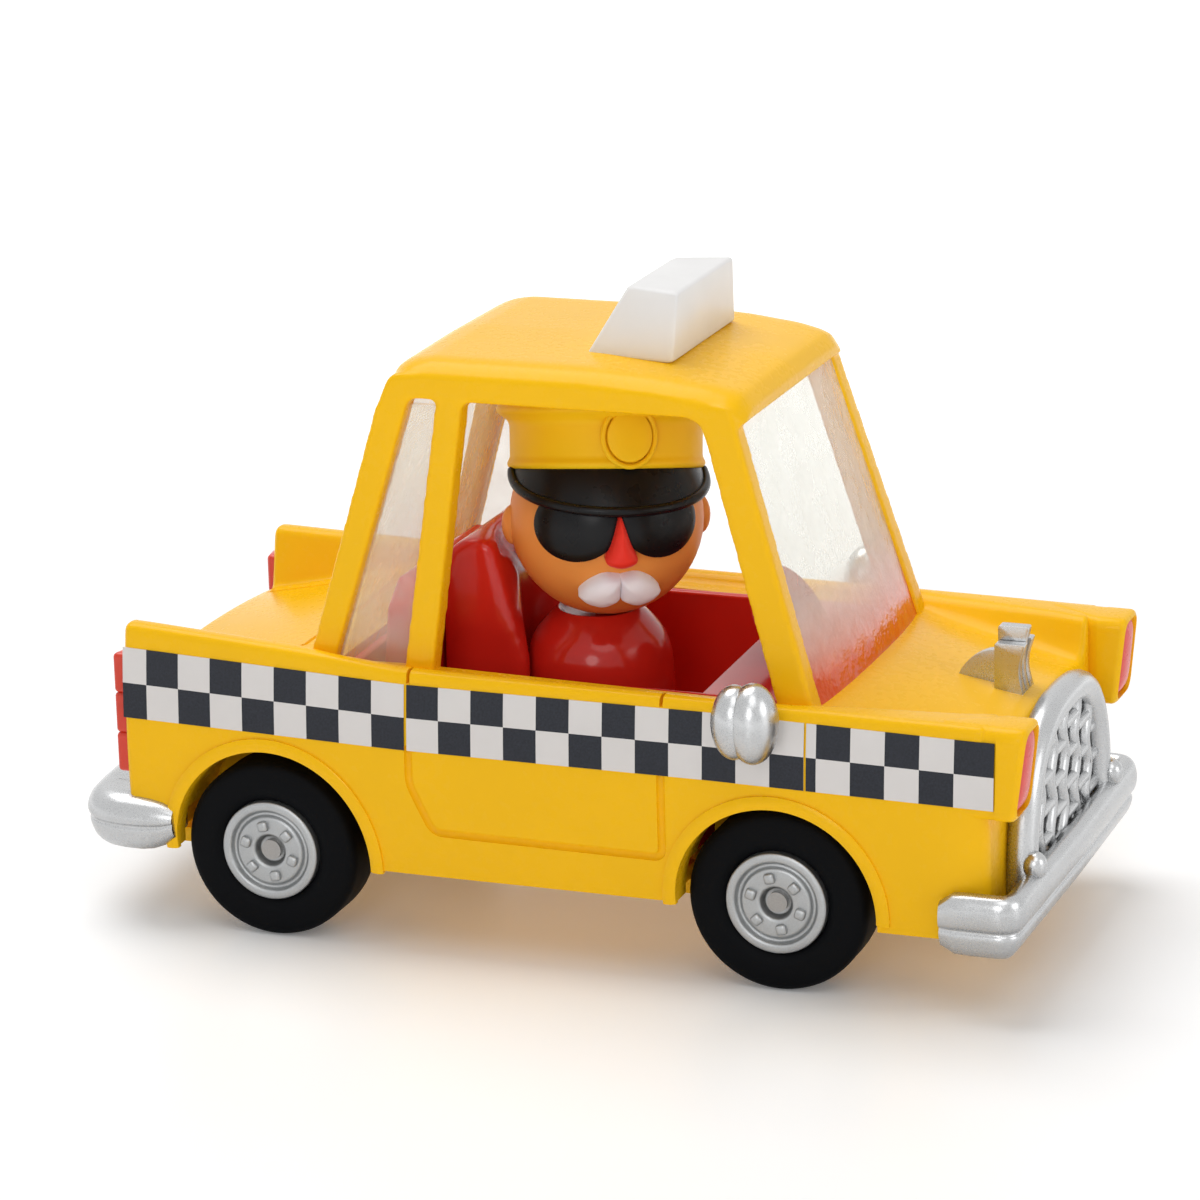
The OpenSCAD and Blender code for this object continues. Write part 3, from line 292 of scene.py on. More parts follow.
def finely(chain, step):
    """The same chain with points added where two are further apart than a step."""
    points = []
    for a, b in zip(chain, chain[1:]):
        count = max(1, int((b - a).length / step))
        points += [a.lerp(b, k / count) for k in range(count)]
    return points + [chain[-1]]


def line(table, station):
    """A value along the car, read from stations and values with straight runs between."""
    for (a, low), (b, high) in zip(table, table[1:]):
        if station <= b:
            k = max(0, (station - a) / (b - a))
            return low + (high - low) * k
    return table[-1][1]


def flow(table, station, reach=1.5):
    """The same with its corners eased over a reach."""
    return (line(table, station - reach) + 2 * line(table, station) + line(table, station + reach)) / 4


def heading(path, index):
    """Way from the point before to the point after."""
    return path[min(index + 1, len(path) - 1)] - path[max(index - 1, 0)]


def sweep(bm, path, section, scales):
    """A tube of a plane section along a path that lies mostly level, upright all the way."""
    rings = []
    for index, place in enumerate(path):
        ahead = heading(path, index)
        out = Vector((ahead.y, -ahead.x, 0)).normalized()
        grow = scales[index]
        rings.append([place + out * (point[0] * grow) + Vector((0, 0, point[1] * grow))
                      for point in section])
    tube(bm, rings)


def rope(bm, path, radius, sides):
    """A round tube along any path."""
    rings = []
    normal = Vector((0, 0, 1))
    for index, place in enumerate(path):
        ahead = heading(path, index).normalized()
        if abs(ahead.dot(normal)) > 0.95:
            normal = Vector((0, 1, 0))
        normal = (normal - ahead * normal.dot(ahead)).normalized()
        other = ahead.cross(normal)
        rings.append([place + normal * (radius * math.cos(math.tau * k / sides))
                      + other * (radius * math.sin(math.tau * k / sides)) for k in range(sides)])
    tube(bm, rings)


def outward(bm):
    """Turns all faces outwards."""
    bmesh.ops.recalc_face_normals(bm, faces=bm.faces)


def baked(bm, kind, settings):
    """Runs a modifier on a shape and returns the new shape."""
    mesh = bpy.data.meshes.new("work")
    bm.to_mesh(mesh)
    bm.free()
    worker = bpy.data.objects.new("work", mesh)
    bpy.context.scene.collection.objects.link(worker)
    modifier = worker.modifiers.new(kind, kind)
    for key, value in settings.items():
        setattr(modifier, key, value)
    result = bpy.data.meshes.new_from_object(
        worker.evaluated_get(bpy.context.evaluated_depsgraph_get()))
    made = bmesh.new()
    made.from_mesh(result)
    bpy.data.objects.remove(worker)
    bpy.data.meshes.remove(mesh)
    bpy.data.meshes.remove(result)
    return made


def carved(bm, tools):
    """Cuts other shapes out of a shape."""
    for tool in tools:
        outward(tool)
        mesh = bpy.data.meshes.new("tool")
        tool.to_mesh(mesh)
        tool.free()
        cutter = bpy.data.objects.new("tool", mesh)
        bpy.context.scene.collection.objects.link(cutter)
        bm = baked(bm, "BOOLEAN", {"object": cutter, "operation": "DIFFERENCE", "solver": "EXACT"})
        bpy.data.objects.remove(cutter)
        bpy.data.meshes.remove(mesh)
    return bm


def blended(bm, voxel, passes):
    """Fuses overlapping closed shapes into one skin and eases its edges."""
    bm = baked(bm, "REMESH", {"mode": "VOXEL", "voxel_size": voxel})
    for _ in range(passes):
        bmesh.ops.smooth_vert(
            bm, verts=bm.verts, factor=0.5, use_axis_x=True, use_axis_y=True, use_axis_z=True)
    return bm


def node_shape(node):
    """A merged copy of a packed node's mesh, in drawing units."""
    bm = bmesh.new()
    bm.from_mesh(frame["nodes"][node].data)
    bmesh.ops.translate(bm, vec=(-MIDDLE, 0, 0), verts=bm.verts)
    bmesh.ops.scale(bm, vec=(1 / MM,) * 3, verts=bm.verts)
    weld(bm, bm.verts)
    bmesh.ops.dissolve_limit(
        bm, angle_limit=math.radians(2), verts=bm.verts, edges=bm.edges, use_dissolve_boundaries=False)
    return bm


def piece(name, bm, cover, body="car", sharp=40):
    """Puts a shape in the frame as a finished piece that stands for the packed node of its name."""
    weld(bm, bm.verts)
    outward(bm)
    bmesh.ops.scale(bm, vec=(MM,) * 3, verts=bm.verts)
    bmesh.ops.translate(bm, vec=(MIDDLE, 0, 0), verts=bm.verts)
    mesh = bpy.data.meshes.new(name)
    bm.to_mesh(mesh)
    bm.free()
    mesh.polygons.foreach_set("use_smooth", [True] * len(mesh.polygons))
    mesh.set_sharp_from_angle(angle=math.radians(sharp))
    mesh.materials.append(FINISHES[cover])
    made = bpy.data.objects.new(name, mesh)
    bpy.context.scene.collection.objects.link(made)
    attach(made, body)
    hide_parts(name)


def refinish(node, cover):
    """Gives a finish to a packed node that is shown as it is."""
    materials = frame["nodes"][node].data.materials
    materials.clear()
    materials.append(FINISHES[cover])


# Finishes

class Wire:
    """A shader socket that sums, differences and products can be written with."""

    def __init__(self, tree, socket=None):
        self.tree = tree
        self.socket = socket

    def node(self, kind, settings=None, inputs=None, output=0):
        """Adds a node with its settings, then its values and links, and gives its output."""
        made = self.tree.nodes.new(kind)
        for key, value in (settings or {}).items():
            setattr(made, key, value)
        for key, value in (inputs or {}).items():
            if isinstance(value, Wire):
                self.tree.links.new(value.socket, made.inputs[key])
            else:
                made.inputs[key].default_value = value
        return Wire(self.tree, made.outputs[output])

    def math(self, operation, *values):
        """A Math node on numbers or wires."""
        return self.node("ShaderNodeMath", {"operation": operation}, dict(enumerate(values)))

    def __add__(self, other):
        return self.math("ADD", self, other)

    def __sub__(self, other):
        return self.math("SUBTRACT", self, other)

    def __rsub__(self, other):
        return self.math("SUBTRACT", other, self)

    def __mul__(self, other):
        return self.math("MULTIPLY", self, other)

    __radd__ = __add__
    __rmul__ = __mul__

    def place(self):
        """Object coordinates, which are the frame's own."""
        return self.node("ShaderNodeTexCoord", output="Object")

    def noise(self, size, detail, rough=0.5):
        """Noise whose grain has a size in millimetres, from 0 to 1."""
        return self.node("ShaderNodeTexNoise", {}, {
            "Vector": self.place(), "Scale": 1 / (size * MM), "Detail": detail, "Roughness": rough})

    def blend(self, share, low, high):
        """A colour between two."""
        return self.node("ShaderNodeMix", {"data_type": "RGBA"}, {0: share, 6: low, 7: high}, 2)

    def spread(self, low, high):
        """Stretches 0 to 1 over a range."""
        return self.node("ShaderNodeMapRange", {}, {"Value": self, "To Min": low, "To Max": high})

    def within(self, low, high):
        """Share of the way from one value to another, from 0 to 1."""
        return self.node("ShaderNodeMapRange", {}, {"Value": self, "From Min": low, "From Max": high})

    def bump(self, height, depth):
        """A normal from a height, with the depth of the relief in millimetres."""
        return self.node("ShaderNodeBump", {}, {
            "Height": height, "Strength": 1, "Distance": depth * MM})


def opaque(rgb):
    """A colour with its alpha."""
    return (*rgb, 1)


def blank(name):
    """A new material with its tree and its shader."""
    material = bpy.data.materials.new(name)
    material.use_nodes = True
    return material, material.node_tree, material.node_tree.nodes["Principled BSDF"]


def finish(name, values, links):
    """A material: plain values go on the shader's sockets, links are worked out from a wire."""
    material, tree, shader = blank(name)
    for key, value in values.items():
        shader.inputs[key].default_value = value
    for key, made in links(Wire(tree)).items():
        tree.links.new(made.socket, shader.inputs[key])
    return material


def shades(rgb, low, high):
    """A darker and a lighter shade of a colour."""
    return opaque([c * low for c in rgb]), opaque([min(1, c * high) for c in rgb])


def enamel(name, rgb, grain=0.004):
    """Thick glossy paint on a casting: slow shade changes, orange peel and fine specks."""
    def links(w):
        cloud = w.noise(9, 3)
        peel = w.noise(0.9, 2)
        speck = w.noise(0.22, 1)
        return {
            "Base Color": w.blend(cloud, *shades(rgb, 0.96, 1.03)),
            "Roughness": (peel * 0.5 + cloud * 0.5).spread(0.2, 0.34),
            "Normal": w.bump(peel * 0.6 + speck * 0.4, grain)}
    return finish(name, {"Coat Weight": 0.07, "Coat Roughness": 0.08, "Specular IOR Level": 0.1}, links)


def moulding(name, rgb, low, high, grain=0.006, coat=0.0, subsurface=0.0):
    """Moulded plastic: a faint flow of shade, a wavy gloss and a fine skin."""
    def links(w):
        cloud = w.noise(6, 3)
        wave = w.noise(1.6, 2)
        skin = w.noise(0.3, 1)
        return {
            "Base Color": w.blend(cloud, *shades(rgb, 0.93, 1.05)),
            "Roughness": wave.spread(low, high),
            "Normal": w.bump(wave * 0.7 + skin * 0.3, grain)}
    return finish(name, {
        "Coat Weight": coat, "Coat Roughness": 0.06, "Specular IOR Level": 0.18,
        "Subsurface Weight": subsurface, "Subsurface Radius": (0.002, 0.001, 0.0006),
        "Subsurface Scale": 0.6}, links)


def plating(name, rgb, low, high, grain):
    """Satin silver over a cast skin: bright grains, soft dents and a broken gloss."""
    def links(w):
        grit = w.noise(0.16, 2, 0.7)
        dent = w.noise(1.3, 2)
        patch = w.noise(4, 3)
        return {
            "Base Color": w.blend(patch * 0.3 + grit * 0.7, *shades(rgb, 0.7, 1.3)),
            "Roughness": (grit * 0.6 + patch * 0.4).spread(low, high),
            "Normal": w.bump(grit * 0.2 + dent * 0.8, grain)}
    return finish(name, {"Metallic": 0.95}, links)


def rubber(name, rgb):
    """Matt rubber with a dusty bloom."""
    def links(w):
        bloom = w.noise(3, 4)
        pore = w.noise(0.25, 2)
        return {
            "Base Color": w.blend(bloom, *shades(rgb, 0.75, 1.6)),
            "Roughness": bloom.spread(0.5, 0.72),
            "Normal": w.bump(pore, 0.01)}
    return finish(name, {"Specular IOR Level": 0.07}, links)


def chequer(name, dark, light):
    """Two rows of squares along the film's own map, with the grain of the print."""
    def links(w):
        place = w.node("ShaderNodeUVMap")
        squares = w.node("ShaderNodeTexChecker", {}, {"Vector": place, "Scale": 1}, 1)
        dot = w.noise(0.2, 1, 0.6)
        ink = w.blend(dot, *shades(dark, 0.55, 1.75))
        ground = w.blend(w.noise(2.5, 3), *shades(light, 0.97, 1.03))
        return {
            "Base Color": w.blend(squares, ink, ground),
            "Roughness": dot.spread(0.3, 0.42),
            "Normal": w.bump(w.noise(1.2, 2), 0.006)}
    return finish(name, {"Coat Weight": 0.06, "Coat Roughness": 0.2, "Specular IOR Level": 0.25}, links)


def glazing(name, rgb):
    """Clear moulded plastic: a hazy, rippled skin, with a painted reflection of the red dash at the screen's
    foot.
    """
    material, tree, shader = blank(name)
    w = Wire(tree)
    ripple = w.noise(3.2, 3)
    fine = w.noise(0.5, 2)
    normal = w.bump(ripple * 0.85 + fine * 0.15, 0.25)
    tree.links.new(normal.socket, shader.inputs["Normal"])
    along = w.node("ShaderNodeSeparateXYZ", {}, {"Vector": w.place()}, "X")
    height = w.node("ShaderNodeSeparateXYZ", {}, {"Vector": w.place()}, "Z")
    # Painted reflection: towards the screen's foot the red of the dash is painted into the glass's colour,
    # and the glass is made less clear there.
    foot = height.within(37 * MM, 29.5 * MM) * along.within(10 * MM, 14 * MM)
    painted_dash_reflection = w.blend(foot, opaque(rgb), opaque((0.75, 0.1, 0.012)))
    tree.links.new(painted_dash_reflection.socket, shader.inputs["Base Color"])
    shader.inputs["Roughness"].default_value = 0.12
    clear = w.node("ShaderNodeBsdfTransparent", {}, {"Color": opaque([0.7 + 0.3 * c for c in rgb])})
    edge = w.node("ShaderNodeLayerWeight", {}, {"Blend": 0.25}, "Facing")
    share = edge * 0.35 + ripple * 0.25 + foot * 0.75 + 0.06
    mixed = w.node("ShaderNodeMixShader", {}, {0: share, 1: clear, 2: Wire(tree, shader.outputs[0])})
    tree.links.new(mixed.socket, tree.nodes["Material Output"].inputs["Surface"])
    return material


def make_finishes():
    """All finishes, by the name of what they cover."""
    c = bpy.context.scene.taxi_colours
    return {
        "body": enamel("yellow_enamel", c.yellow),
        "cabin": enamel("roof_enamel", c.yellow, 0.005),
        "cap": moulding("cap_plastic", c.cap_yellow, 0.4, 0.55, 0.01),
        "red": moulding("red_plastic", c.red, 0.14, 0.3, 0.012, coat=0.3),
        "nose": moulding("nose_plastic", [c.red[0] * 1.25, c.red[1] * 1.6, c.red[2] * 1.6], 0.35, 0.5),
        "lamp": moulding("lamp_lens", c.lamp, 0.2, 0.35, 0.004, coat=0.1),
        "tail": moulding("tail_lens", c.tail, 0.18, 0.3, 0.004, coat=0.5),
        "silver": plating("silver_plating", c.silver, 0.18, 0.38, 0.014),
        "hub": plating("hub_silver", c.hub, 0.34, 0.5, 0.02),
        "steel": plating("axle_steel", (0.32, 0.31, 0.3), 0.3, 0.45, 0.01),
        "tyre": rubber("tyre_rubber", c.tyre),
        "black": moulding("black_plastic", c.black, 0.22, 0.36, 0.008),
        "white": moulding("white_plastic", c.white, 0.3, 0.42, 0.005),
        "fur": moulding("moustache_plastic", (0.93, 0.9, 0.95), 0.4, 0.55, 0.006),
        "skin": moulding("skin_plastic", c.skin, 0.36, 0.5, 0.006, subsurface=0.15),
        "film": chequer("chequer_film", c.film_dark, c.film_light),
        "glass": glazing("clear_glazing", c.glass),
    }


FINISHES = {}


# Surfaces of the casting, by station

TAIL = -41
NOSE = 46.8
CREST = [(TAIL, 30.7), (-21.5, 29.8), (-11.6, 28.95), (29.6, 28.6), (50.1, 28.3)]
OUTER = [(TAIL, 20), (-11.6, 21.5), (50.1, 21.5)]
CREST_IN = [(TAIL, 2.2), (-22, 2.2), (-20, 1.6), (28, 1.6), (31, 2.6), (44, 4.4), (NOSE, 5.6)]
FOOT_IN = [(TAIL, 3.4), (-22, 3.4), (-20, 2.6), (28, 2.6), (31, 4.4), (44, 6.6), (NOSE, 7)]
BED = [(TAIL, 24.4), (-22.5, 28), (-11.6, 28.2), (29.6, 27.4), (31, 26.9), (NOSE, 24.2)]
FILLET = [(TAIL, 0.8), (28, 0.8), (32, 3), (NOSE, 3)]
CROWN = [(TAIL, 0.8), (-22, 0.8), (-20, 0), (28, 0), (31, 1.2), (NOSE, 1.2)]
SILL = [(TAIL, 8.4), (16, 8.4), (36, 7.4), (NOSE, 7.4)]
BAND_TOP = [(-40.9, 28.35), (-10.3, 27.61), (19.5, 27.6), (47.5, 27.07)]
BAND_LOW = [(-40.9, 21.36), (-10.3, 21.19), (19.5, 21.12), (47.5, 20.73)]

# The side is widest at one height, and tucks in over and under it
BELLY = 18
TUCK_OVER = 0.006
TUCK_UNDER = 0.008

# The lower half of the nose draws in from one station on
DRAW_FROM = 42
DRAW_BY = 1.5
DRAW_TOP = 20.6


def side(station, z):
    """Half width of the casting at a station and a height."""
    tuck = TUCK_OVER * max(0, z - BELLY) ** 2 + TUCK_UNDER * max(0, BELLY - z) ** 2
    below = min(1, max(0, (DRAW_TOP - z) / 1.5))
    draw = below * DRAW_BY * (max(0, station - DRAW_FROM) / (NOSE - DRAW_FROM)) ** 2
    return flow(OUTER, station, 3) - tuck - draw


def half_section(station, edge, drawn_in=0.0):
    """The casting's outline at a station from one sill up over the crest to the middle."""
    sill = line(SILL, station)
    crest = flow(CREST, station)
    crown = flow(CROWN, station)
    out = side(station, crest)
    foot = out - flow(FOOT_IN, station) + drawn_in
    bed = flow(BED, station) - drawn_in
    corners = []
    for k in range(12):
        z = sill + (crest - 1.3 - sill) * k / 11
        corners.append(((side(station, z) - drawn_in, z), 0))
    corners.append(((out - drawn_in, crest - drawn_in), edge))
    corners.append(((out - flow(CREST_IN, station) + drawn_in, crest - drawn_in), edge))
    corners.append(((foot, bed), line(FILLET, station)))
    for k in range(1, 6):
        y = foot * (1 - k / 5)
        corners.append(((y, bed + crown * (1 - (y / foot) ** 2)), 0))
    return rounded(corners, 6)


def full_ring(station, chain):
    """Both halves of an outline as points in space."""
    right = [Vector((station, -point.x, point.y)) for point in chain]
    left = [Vector((station, point.x, point.y)) for point in reversed(chain[:-1])]
    return right + left


def deck(station, y):
    """Height of the bed between the crests at a place across the car."""
    foot = side(station, flow(CREST, station)) - flow(FOOT_IN, station)
    return flow(BED, station) + flow(CROWN, station) * (1 - (y / foot) ** 2)


def frange(start, stop, step):
    """Even stations from start to stop, about a step apart."""
    count = max(1, round((stop - start) / step))
    return [start + (stop - start) * k / count for k in range(count + 1)]


def drum(bm, centre, radius, half):
    """A cylinder across the car."""
    matrix = Matrix.Translation(centre) @ Matrix.Rotation(math.pi / 2, 4, "X")
    bmesh.ops.create_cone(
        bm, cap_ends=True, segments=96, radius1=radius, radius2=radius, depth=2 * half, matrix=matrix)


def on_side(station, z, hand, proud=0.0):
    """A point on the casting's side."""
    return Vector((station, hand * (side(station, z) + proud), z))


def arches(d):
    """Middle station and radius of the two wheel arches of a side."""
    return (FRONT_AXLE + 0.3, d.front_arch), (REAR_AXLE + 0.6, d.rear_arch)


# Lamp pods: the face slants, and the inner side tapers into the fender behind
POD_FACE = 50.1
POD_BASE = 47.75
POD_OUT = 21.55
POD_CORNER = 1.3
POD_MID = 24
POD_SLANT = 0.11
TAPER_FROM = 47.5
TAPER = 0.56


def pod_ring(d, station, by, hand, tuck=0.0):
    """The outline of a lamp pod, drawn in by a border and on its outer side by a tuck."""
    high = line(CREST, station) + 0.05 - by
    low = d.pod_low + by
    out = POD_OUT - by - tuck
    inner = POD_OUT - d.pod_wide + by + TAPER * max(0, TAPER_FROM - station)
    corners = [(place, POD_CORNER) for place in ((out, low), (out, high), (inner, high), (inner, low))]
    slant = POD_SLANT * min(1, max(0, (station - POD_BASE) / 1.75))
    ring = []
    for p in loop(corners, 6):
        share = (p.x - inner) / (out - inner)
        across = p.x - share * TUCK_OVER * (p.y - BELLY) ** 2
        ring.append(Vector((station + slant * (p.y - POD_MID), hand * across, p.y)))
    return ring


# Body: cut boxes, wheel wells, seams as corners with cuts, and the section of an arch's lip
HOLLOW = ((-38, -18, -1), (43, 18, 12))
CABIN_WELL = ((-19.3, -16.2, 10), (26.6, 16.2, 40))
WELL_MID = 21
WELL_HALF = 9
DOOR_REAR = -10.3
DOOR_FRONT = 15.3
DOOR_SEAM = [((DOOR_REAR, 21.6), 0), ((DOOR_REAR, 17.9), 0.8), ((-8, 13.1), 1),
             ((DOOR_FRONT, 12.9), 1), ((DOOR_FRONT, 21.5), 0)]
NOTCH_HALF = 0.17
NOTCH_ACROSS = (18.6, 23)
NOTCH_HEIGHTS = (27.7, 31)
LID_SEAM = [(-40, 12.8), (-26.5, 13.6), (-24.6, 12.4), (-23.4, 0)]
LID_GROOVE = 0.3
LIP = [(0, -1), (0, 0.5), (0.15, 0.85), (0.45, 1), (0.75, 0.9), (1, 0.5), (1, -1)]


class TAXI_OT_body(bpy.types.Operator):
    """Model the casting with its fins, lamp pods, wheel arches and engraved seams"""
    bl_idname = "taxi.body"
    bl_label = "Body"

    def execute(self, context):
        d = Drawing("taxi_body")
        rings = self.end(d, TAIL, 1)
        for station in frange(TAIL + d.end_round, NOSE - d.end_round, 1)[1:-1]:
            rings.append(full_ring(station, half_section(station, d.edge)))
        rings += reversed(self.end(d, NOSE, -1))
        bm = new_shape(tube, rings)
        outward(bm)
        bm = carved(bm, self.cutters(d))
        for hand in SIDES.values():
            self.lips(bm, d, hand)
            self.pod(bm, d, hand)
        piece("body_shell", bm, "body", sharp=38)
        return {"FINISHED"}

    def end(self, d, face, inward):
        """Rings that round off an end of the casting, from its face inwards."""
        rings = []
        for k in range(6):
            turn = math.pi / 2 * k / 5
            at = face + inward * d.end_round * (1 - math.cos(turn))
            in_by = d.end_round * (1 - math.sin(turn))
            rings.append(full_ring(at, half_section(at, d.edge, in_by)))
        return rings

    def cutters(self, d):
        """The hollow underneath, the well of the cabin, the arches, the seams and the belt's notches."""
        tools = [new_shape(block, *HOLLOW), new_shape(block, *CABIN_WELL)]
        for hand in SIDES.values():
            for at, radius in arches(d):
                tools.append(new_shape(drum, (at, hand * WELL_MID, AXLE_Z), radius, WELL_HALF))
                low = (at - radius, hand * WELL_MID - WELL_HALF, -1)
                high = (at + radius, hand * WELL_MID + WELL_HALF, AXLE_Z)
                tools.append(new_shape(block, low, high))
            door = [on_side(p.x, p.y, hand) for p in finely(rounded(DOOR_SEAM, 6), 1.5)]
            tools.append(new_shape(rope, door, d.seam_w, 10))
            tools.append(new_shape(rope, self.lid(hand), LID_GROOVE, 8))
            near, far = sorted(hand * y for y in NOTCH_ACROSS)
            for station in (DOOR_REAR, DOOR_FRONT):
                low = (station - NOTCH_HALF, near, NOTCH_HEIGHTS[0])
                high = (station + NOTCH_HALF, far, NOTCH_HEIGHTS[1])
                tools.append(new_shape(block, low, high))
        return tools

    def lid(self, hand):
        """One half of the seam round the rear deck's lid."""
        points = []
        for (s0, y0), (s1, y1) in zip(LID_SEAM, LID_SEAM[1:]):
            for k in range(9):
                s = s0 + (s1 - s0) * k / 8
                y = y0 + (y1 - y0) * k / 8
                points.append(Vector((s, hand * y, deck(s, y))))
        return [p for k, p in enumerate(points) if k == 0 or (p - points[k - 1]).length > 0.01]

    def lips(self, bm, d, hand):
        """Raised lips round the two arches of a side."""
        for at, radius in arches(d):
            rings = []
            for k in range(65):
                turn = math.radians(-4 + 188 * k / 64)
                ring = []
                for out, up in LIP:
                    r = radius + out * d.lip_w
                    s = at + r * math.cos(turn)
                    z = AXLE_Z + r * math.sin(turn)
                    ring.append(on_side(s, z, hand, up * d.lip_h))
                rings.append(ring)
            tube(bm, rings)

    def pod(self, bm, d, hand):
        """A lamp pod from its root in the fender to its lipped recess."""
        rings = [pod_ring(d, s, 0, hand, 0.16) for s in (42.5, 44, 45.5, 46.5, 47.55)]
        rim = [(POD_BASE, 0), (49.5, 0), (49.75, 0.06), (49.95, 0.2), (50.07, 0.4),
               (POD_FACE, d.pod_border - 0.06), (49.95, d.pod_border),
               (POD_FACE - d.pod_recess, d.pod_border + 0.1)]
        rings += [pod_ring(d, s, by, hand) for s, by in rim]
        tube(bm, rings)


# Lower and upper height of the steps of a tail lamp
TAIL_STEPS = ((15.4, 19.5), (19.4, 23.6), (23.5, 27.6))


class TAXI_OT_lamps(bpy.types.Operator):
    """Model the domed headlamps and the stepped tail lamps"""
    bl_idname = "taxi.lamps"
    bl_label = "Lamps"

    def execute(self, context):
        d = Drawing("taxi_body")
        for name, hand in SIDES.items():
            self.headlamp(d, name, hand)
            self.tail_lamp(name, hand)
        return {"FINISHED"}

    def headlamp(self, d, name, hand):
        base = POD_FACE - d.pod_recess
        border = d.pod_border + 0.15
        rings = [pod_ring(d, base + 0.05, border, hand)]
        for k in range(9):
            turn = math.pi / 2 * k / 8
            by = border + 2.2 * (1 - math.cos(turn)) ** 1.2
            rings.append(pod_ring(d, base + 0.45 + math.sin(turn), by, hand))
        piece("headlamp_" + name, new_shape(tube, rings), "lamp", sharp=50)

    def tail_lamp(self, name, hand):
        """Three steps, one over the other, with their inner edges set back."""
        bm = bmesh.new()
        for low, high in TAIL_STEPS:
            verts = block(bm, (-42.3, 16.7, low), (-40, 19.35, high))
            for vert in verts:
                if vert.co.y < 17 and vert.co.x < -42:
                    vert.co.x += 0.5
            soften(bm, edges_of(bm, verts), 0.45, 4)
        bmesh.ops.scale(bm, vec=(1, hand, 1), verts=bm.verts)
        piece("tail_lamp_" + name, bm, "tail")


# Cabin: half widths at two heights, outlines as corners with cuts, and the roof by station
BELT_Z = 28
BELT_HALF = 18.2
HEAD_Z = 53.6
HEAD_HALF = 16
CABIN_SIDE = [((29.8, 26.6), 0), ((21.3, 53.8), 1), ((20.8, 55.6), 0.8), ((-13.3, 56.8), 1.2),
              ((-14.9, 53), 0), ((-22.2, 26.6), 0)]
FRONT_WINDOW = [((25.9, 27.4), 0.2), ((17.8, 54.3), 1.8), ((-5.95, 54.3), 0.9), ((-8.95, 27.4), 0.2)]
QUARTER_WINDOW = [((-19.4, 27.4), 0.2), ((-11.9, 27.4), 0.2), ((-8.6, 54.4), 0.6), ((-11.4, 54.4), 0.8)]
ROOF_REAR = -14.4
ROOF_FRONT = 22
ROOF_TOP = [(ROOF_REAR, 55.6), (-13.6, 56.8), (-12.2, 57.6), (-10, 58), (6, 58), (13, 57.6), (18, 57),
            (20.8, 56.4), (21.6, 55.8), (ROOF_FRONT, 54.9)]
ROOF_LOW = [(ROOF_REAR, 54.6), (-13, 54.4), (-11, 56), (15, 56), (18, 54.6), (ROOF_FRONT, 53.8)]
ROOF_HALF = [(ROOF_REAR, 14), (-13.4, 15), (-11.5, 15.9), (18, 15.9), (21, 15.6), (ROOF_FRONT, 15.2)]


def lean(z):
    """Half width of the cabin's outside at a height."""
    return BELT_HALF + (HEAD_HALF - BELT_HALF) * (z - BELT_Z) / (HEAD_Z - BELT_Z)


class TAXI_OT_cabin(bpy.types.Operator):
    """Model the roof with its pillars"""
    bl_idname = "taxi.cabin"
    bl_label = "Roof and pillars"

    def execute(self, context):
        d = Drawing("taxi_cabin")
        bm = bmesh.new()
        for hand in SIDES.values():
            self.plate(bm, d, hand)
        tube(bm, [self.roof_ring(s) for s in frange(ROOF_REAR, ROOF_FRONT, 0.9)])
        outward(bm)
        bm = blended(bm, d.voxel, 4)
        piece("cabin_frame", bm, "cabin", sharp=180)
        return {"FINISHED"}

    def plate(self, bm, d, hand):
        """One side with its window openings."""
        part = bmesh.new()
        for chain in (loop(CABIN_SIDE, 5), loop(FRONT_WINDOW, 6), loop(QUARTER_WINDOW, 3)):
            verts = [part.verts.new((p.x, 0, p.y)) for p in chain]
            for a, b in zip(verts, verts[1:] + verts[:1]):
                part.edges.new((a, b))
        bmesh.ops.triangle_fill(part, use_beauty=True, use_dissolve=False, edges=part.edges)
        made = bmesh.ops.extrude_face_region(part, geom=part.faces)
        moved = [item for item in made["geom"] if isinstance(item, bmesh.types.BMVert)]
        bmesh.ops.translate(part, vec=(0, d.plate, 0), verts=moved)
        for vert in part.verts:
            vert.co.y = hand * (lean(vert.co.z) - d.plate + vert.co.y)
        outward(part)
        mesh = bpy.data.meshes.new("plate")
        part.to_mesh(mesh)
        part.free()
        bm.from_mesh(mesh)
        bpy.data.meshes.remove(mesh)

    def roof_ring(self, s):
        """The roof's outline at a station."""
        top = line(ROOF_TOP, s)
        low = line(ROOF_LOW, s)
        half = line(ROOF_HALF, s)
        corners = [((half, low), 0.3), ((half, top - 1.2), 1.2), ((half - 2, top), 1.5),
                   ((0, top + 0.15), 0),
                   ((2 - half, top), 1.5), ((-half, top - 1.2), 1.2), ((-half, low), 0.3)]
        return [Vector((s, p.x, p.y)) for p in loop(corners, 4)]


# Glazing: stations of a screen's foot and head and its bow, then half widths, feet and rises
SCREENS = ((29.2, 20.8, 1.5), (-19.8, -12.5, 0))
SCREEN_HALF = (16.4, 14.6)
SCREEN_FOOT = 27.2
SCREEN_RISE = 27.2
QUARTER_FOOT = 27.4
QUARTER_RISE = 26.2
QUARTER_IN = 1.3


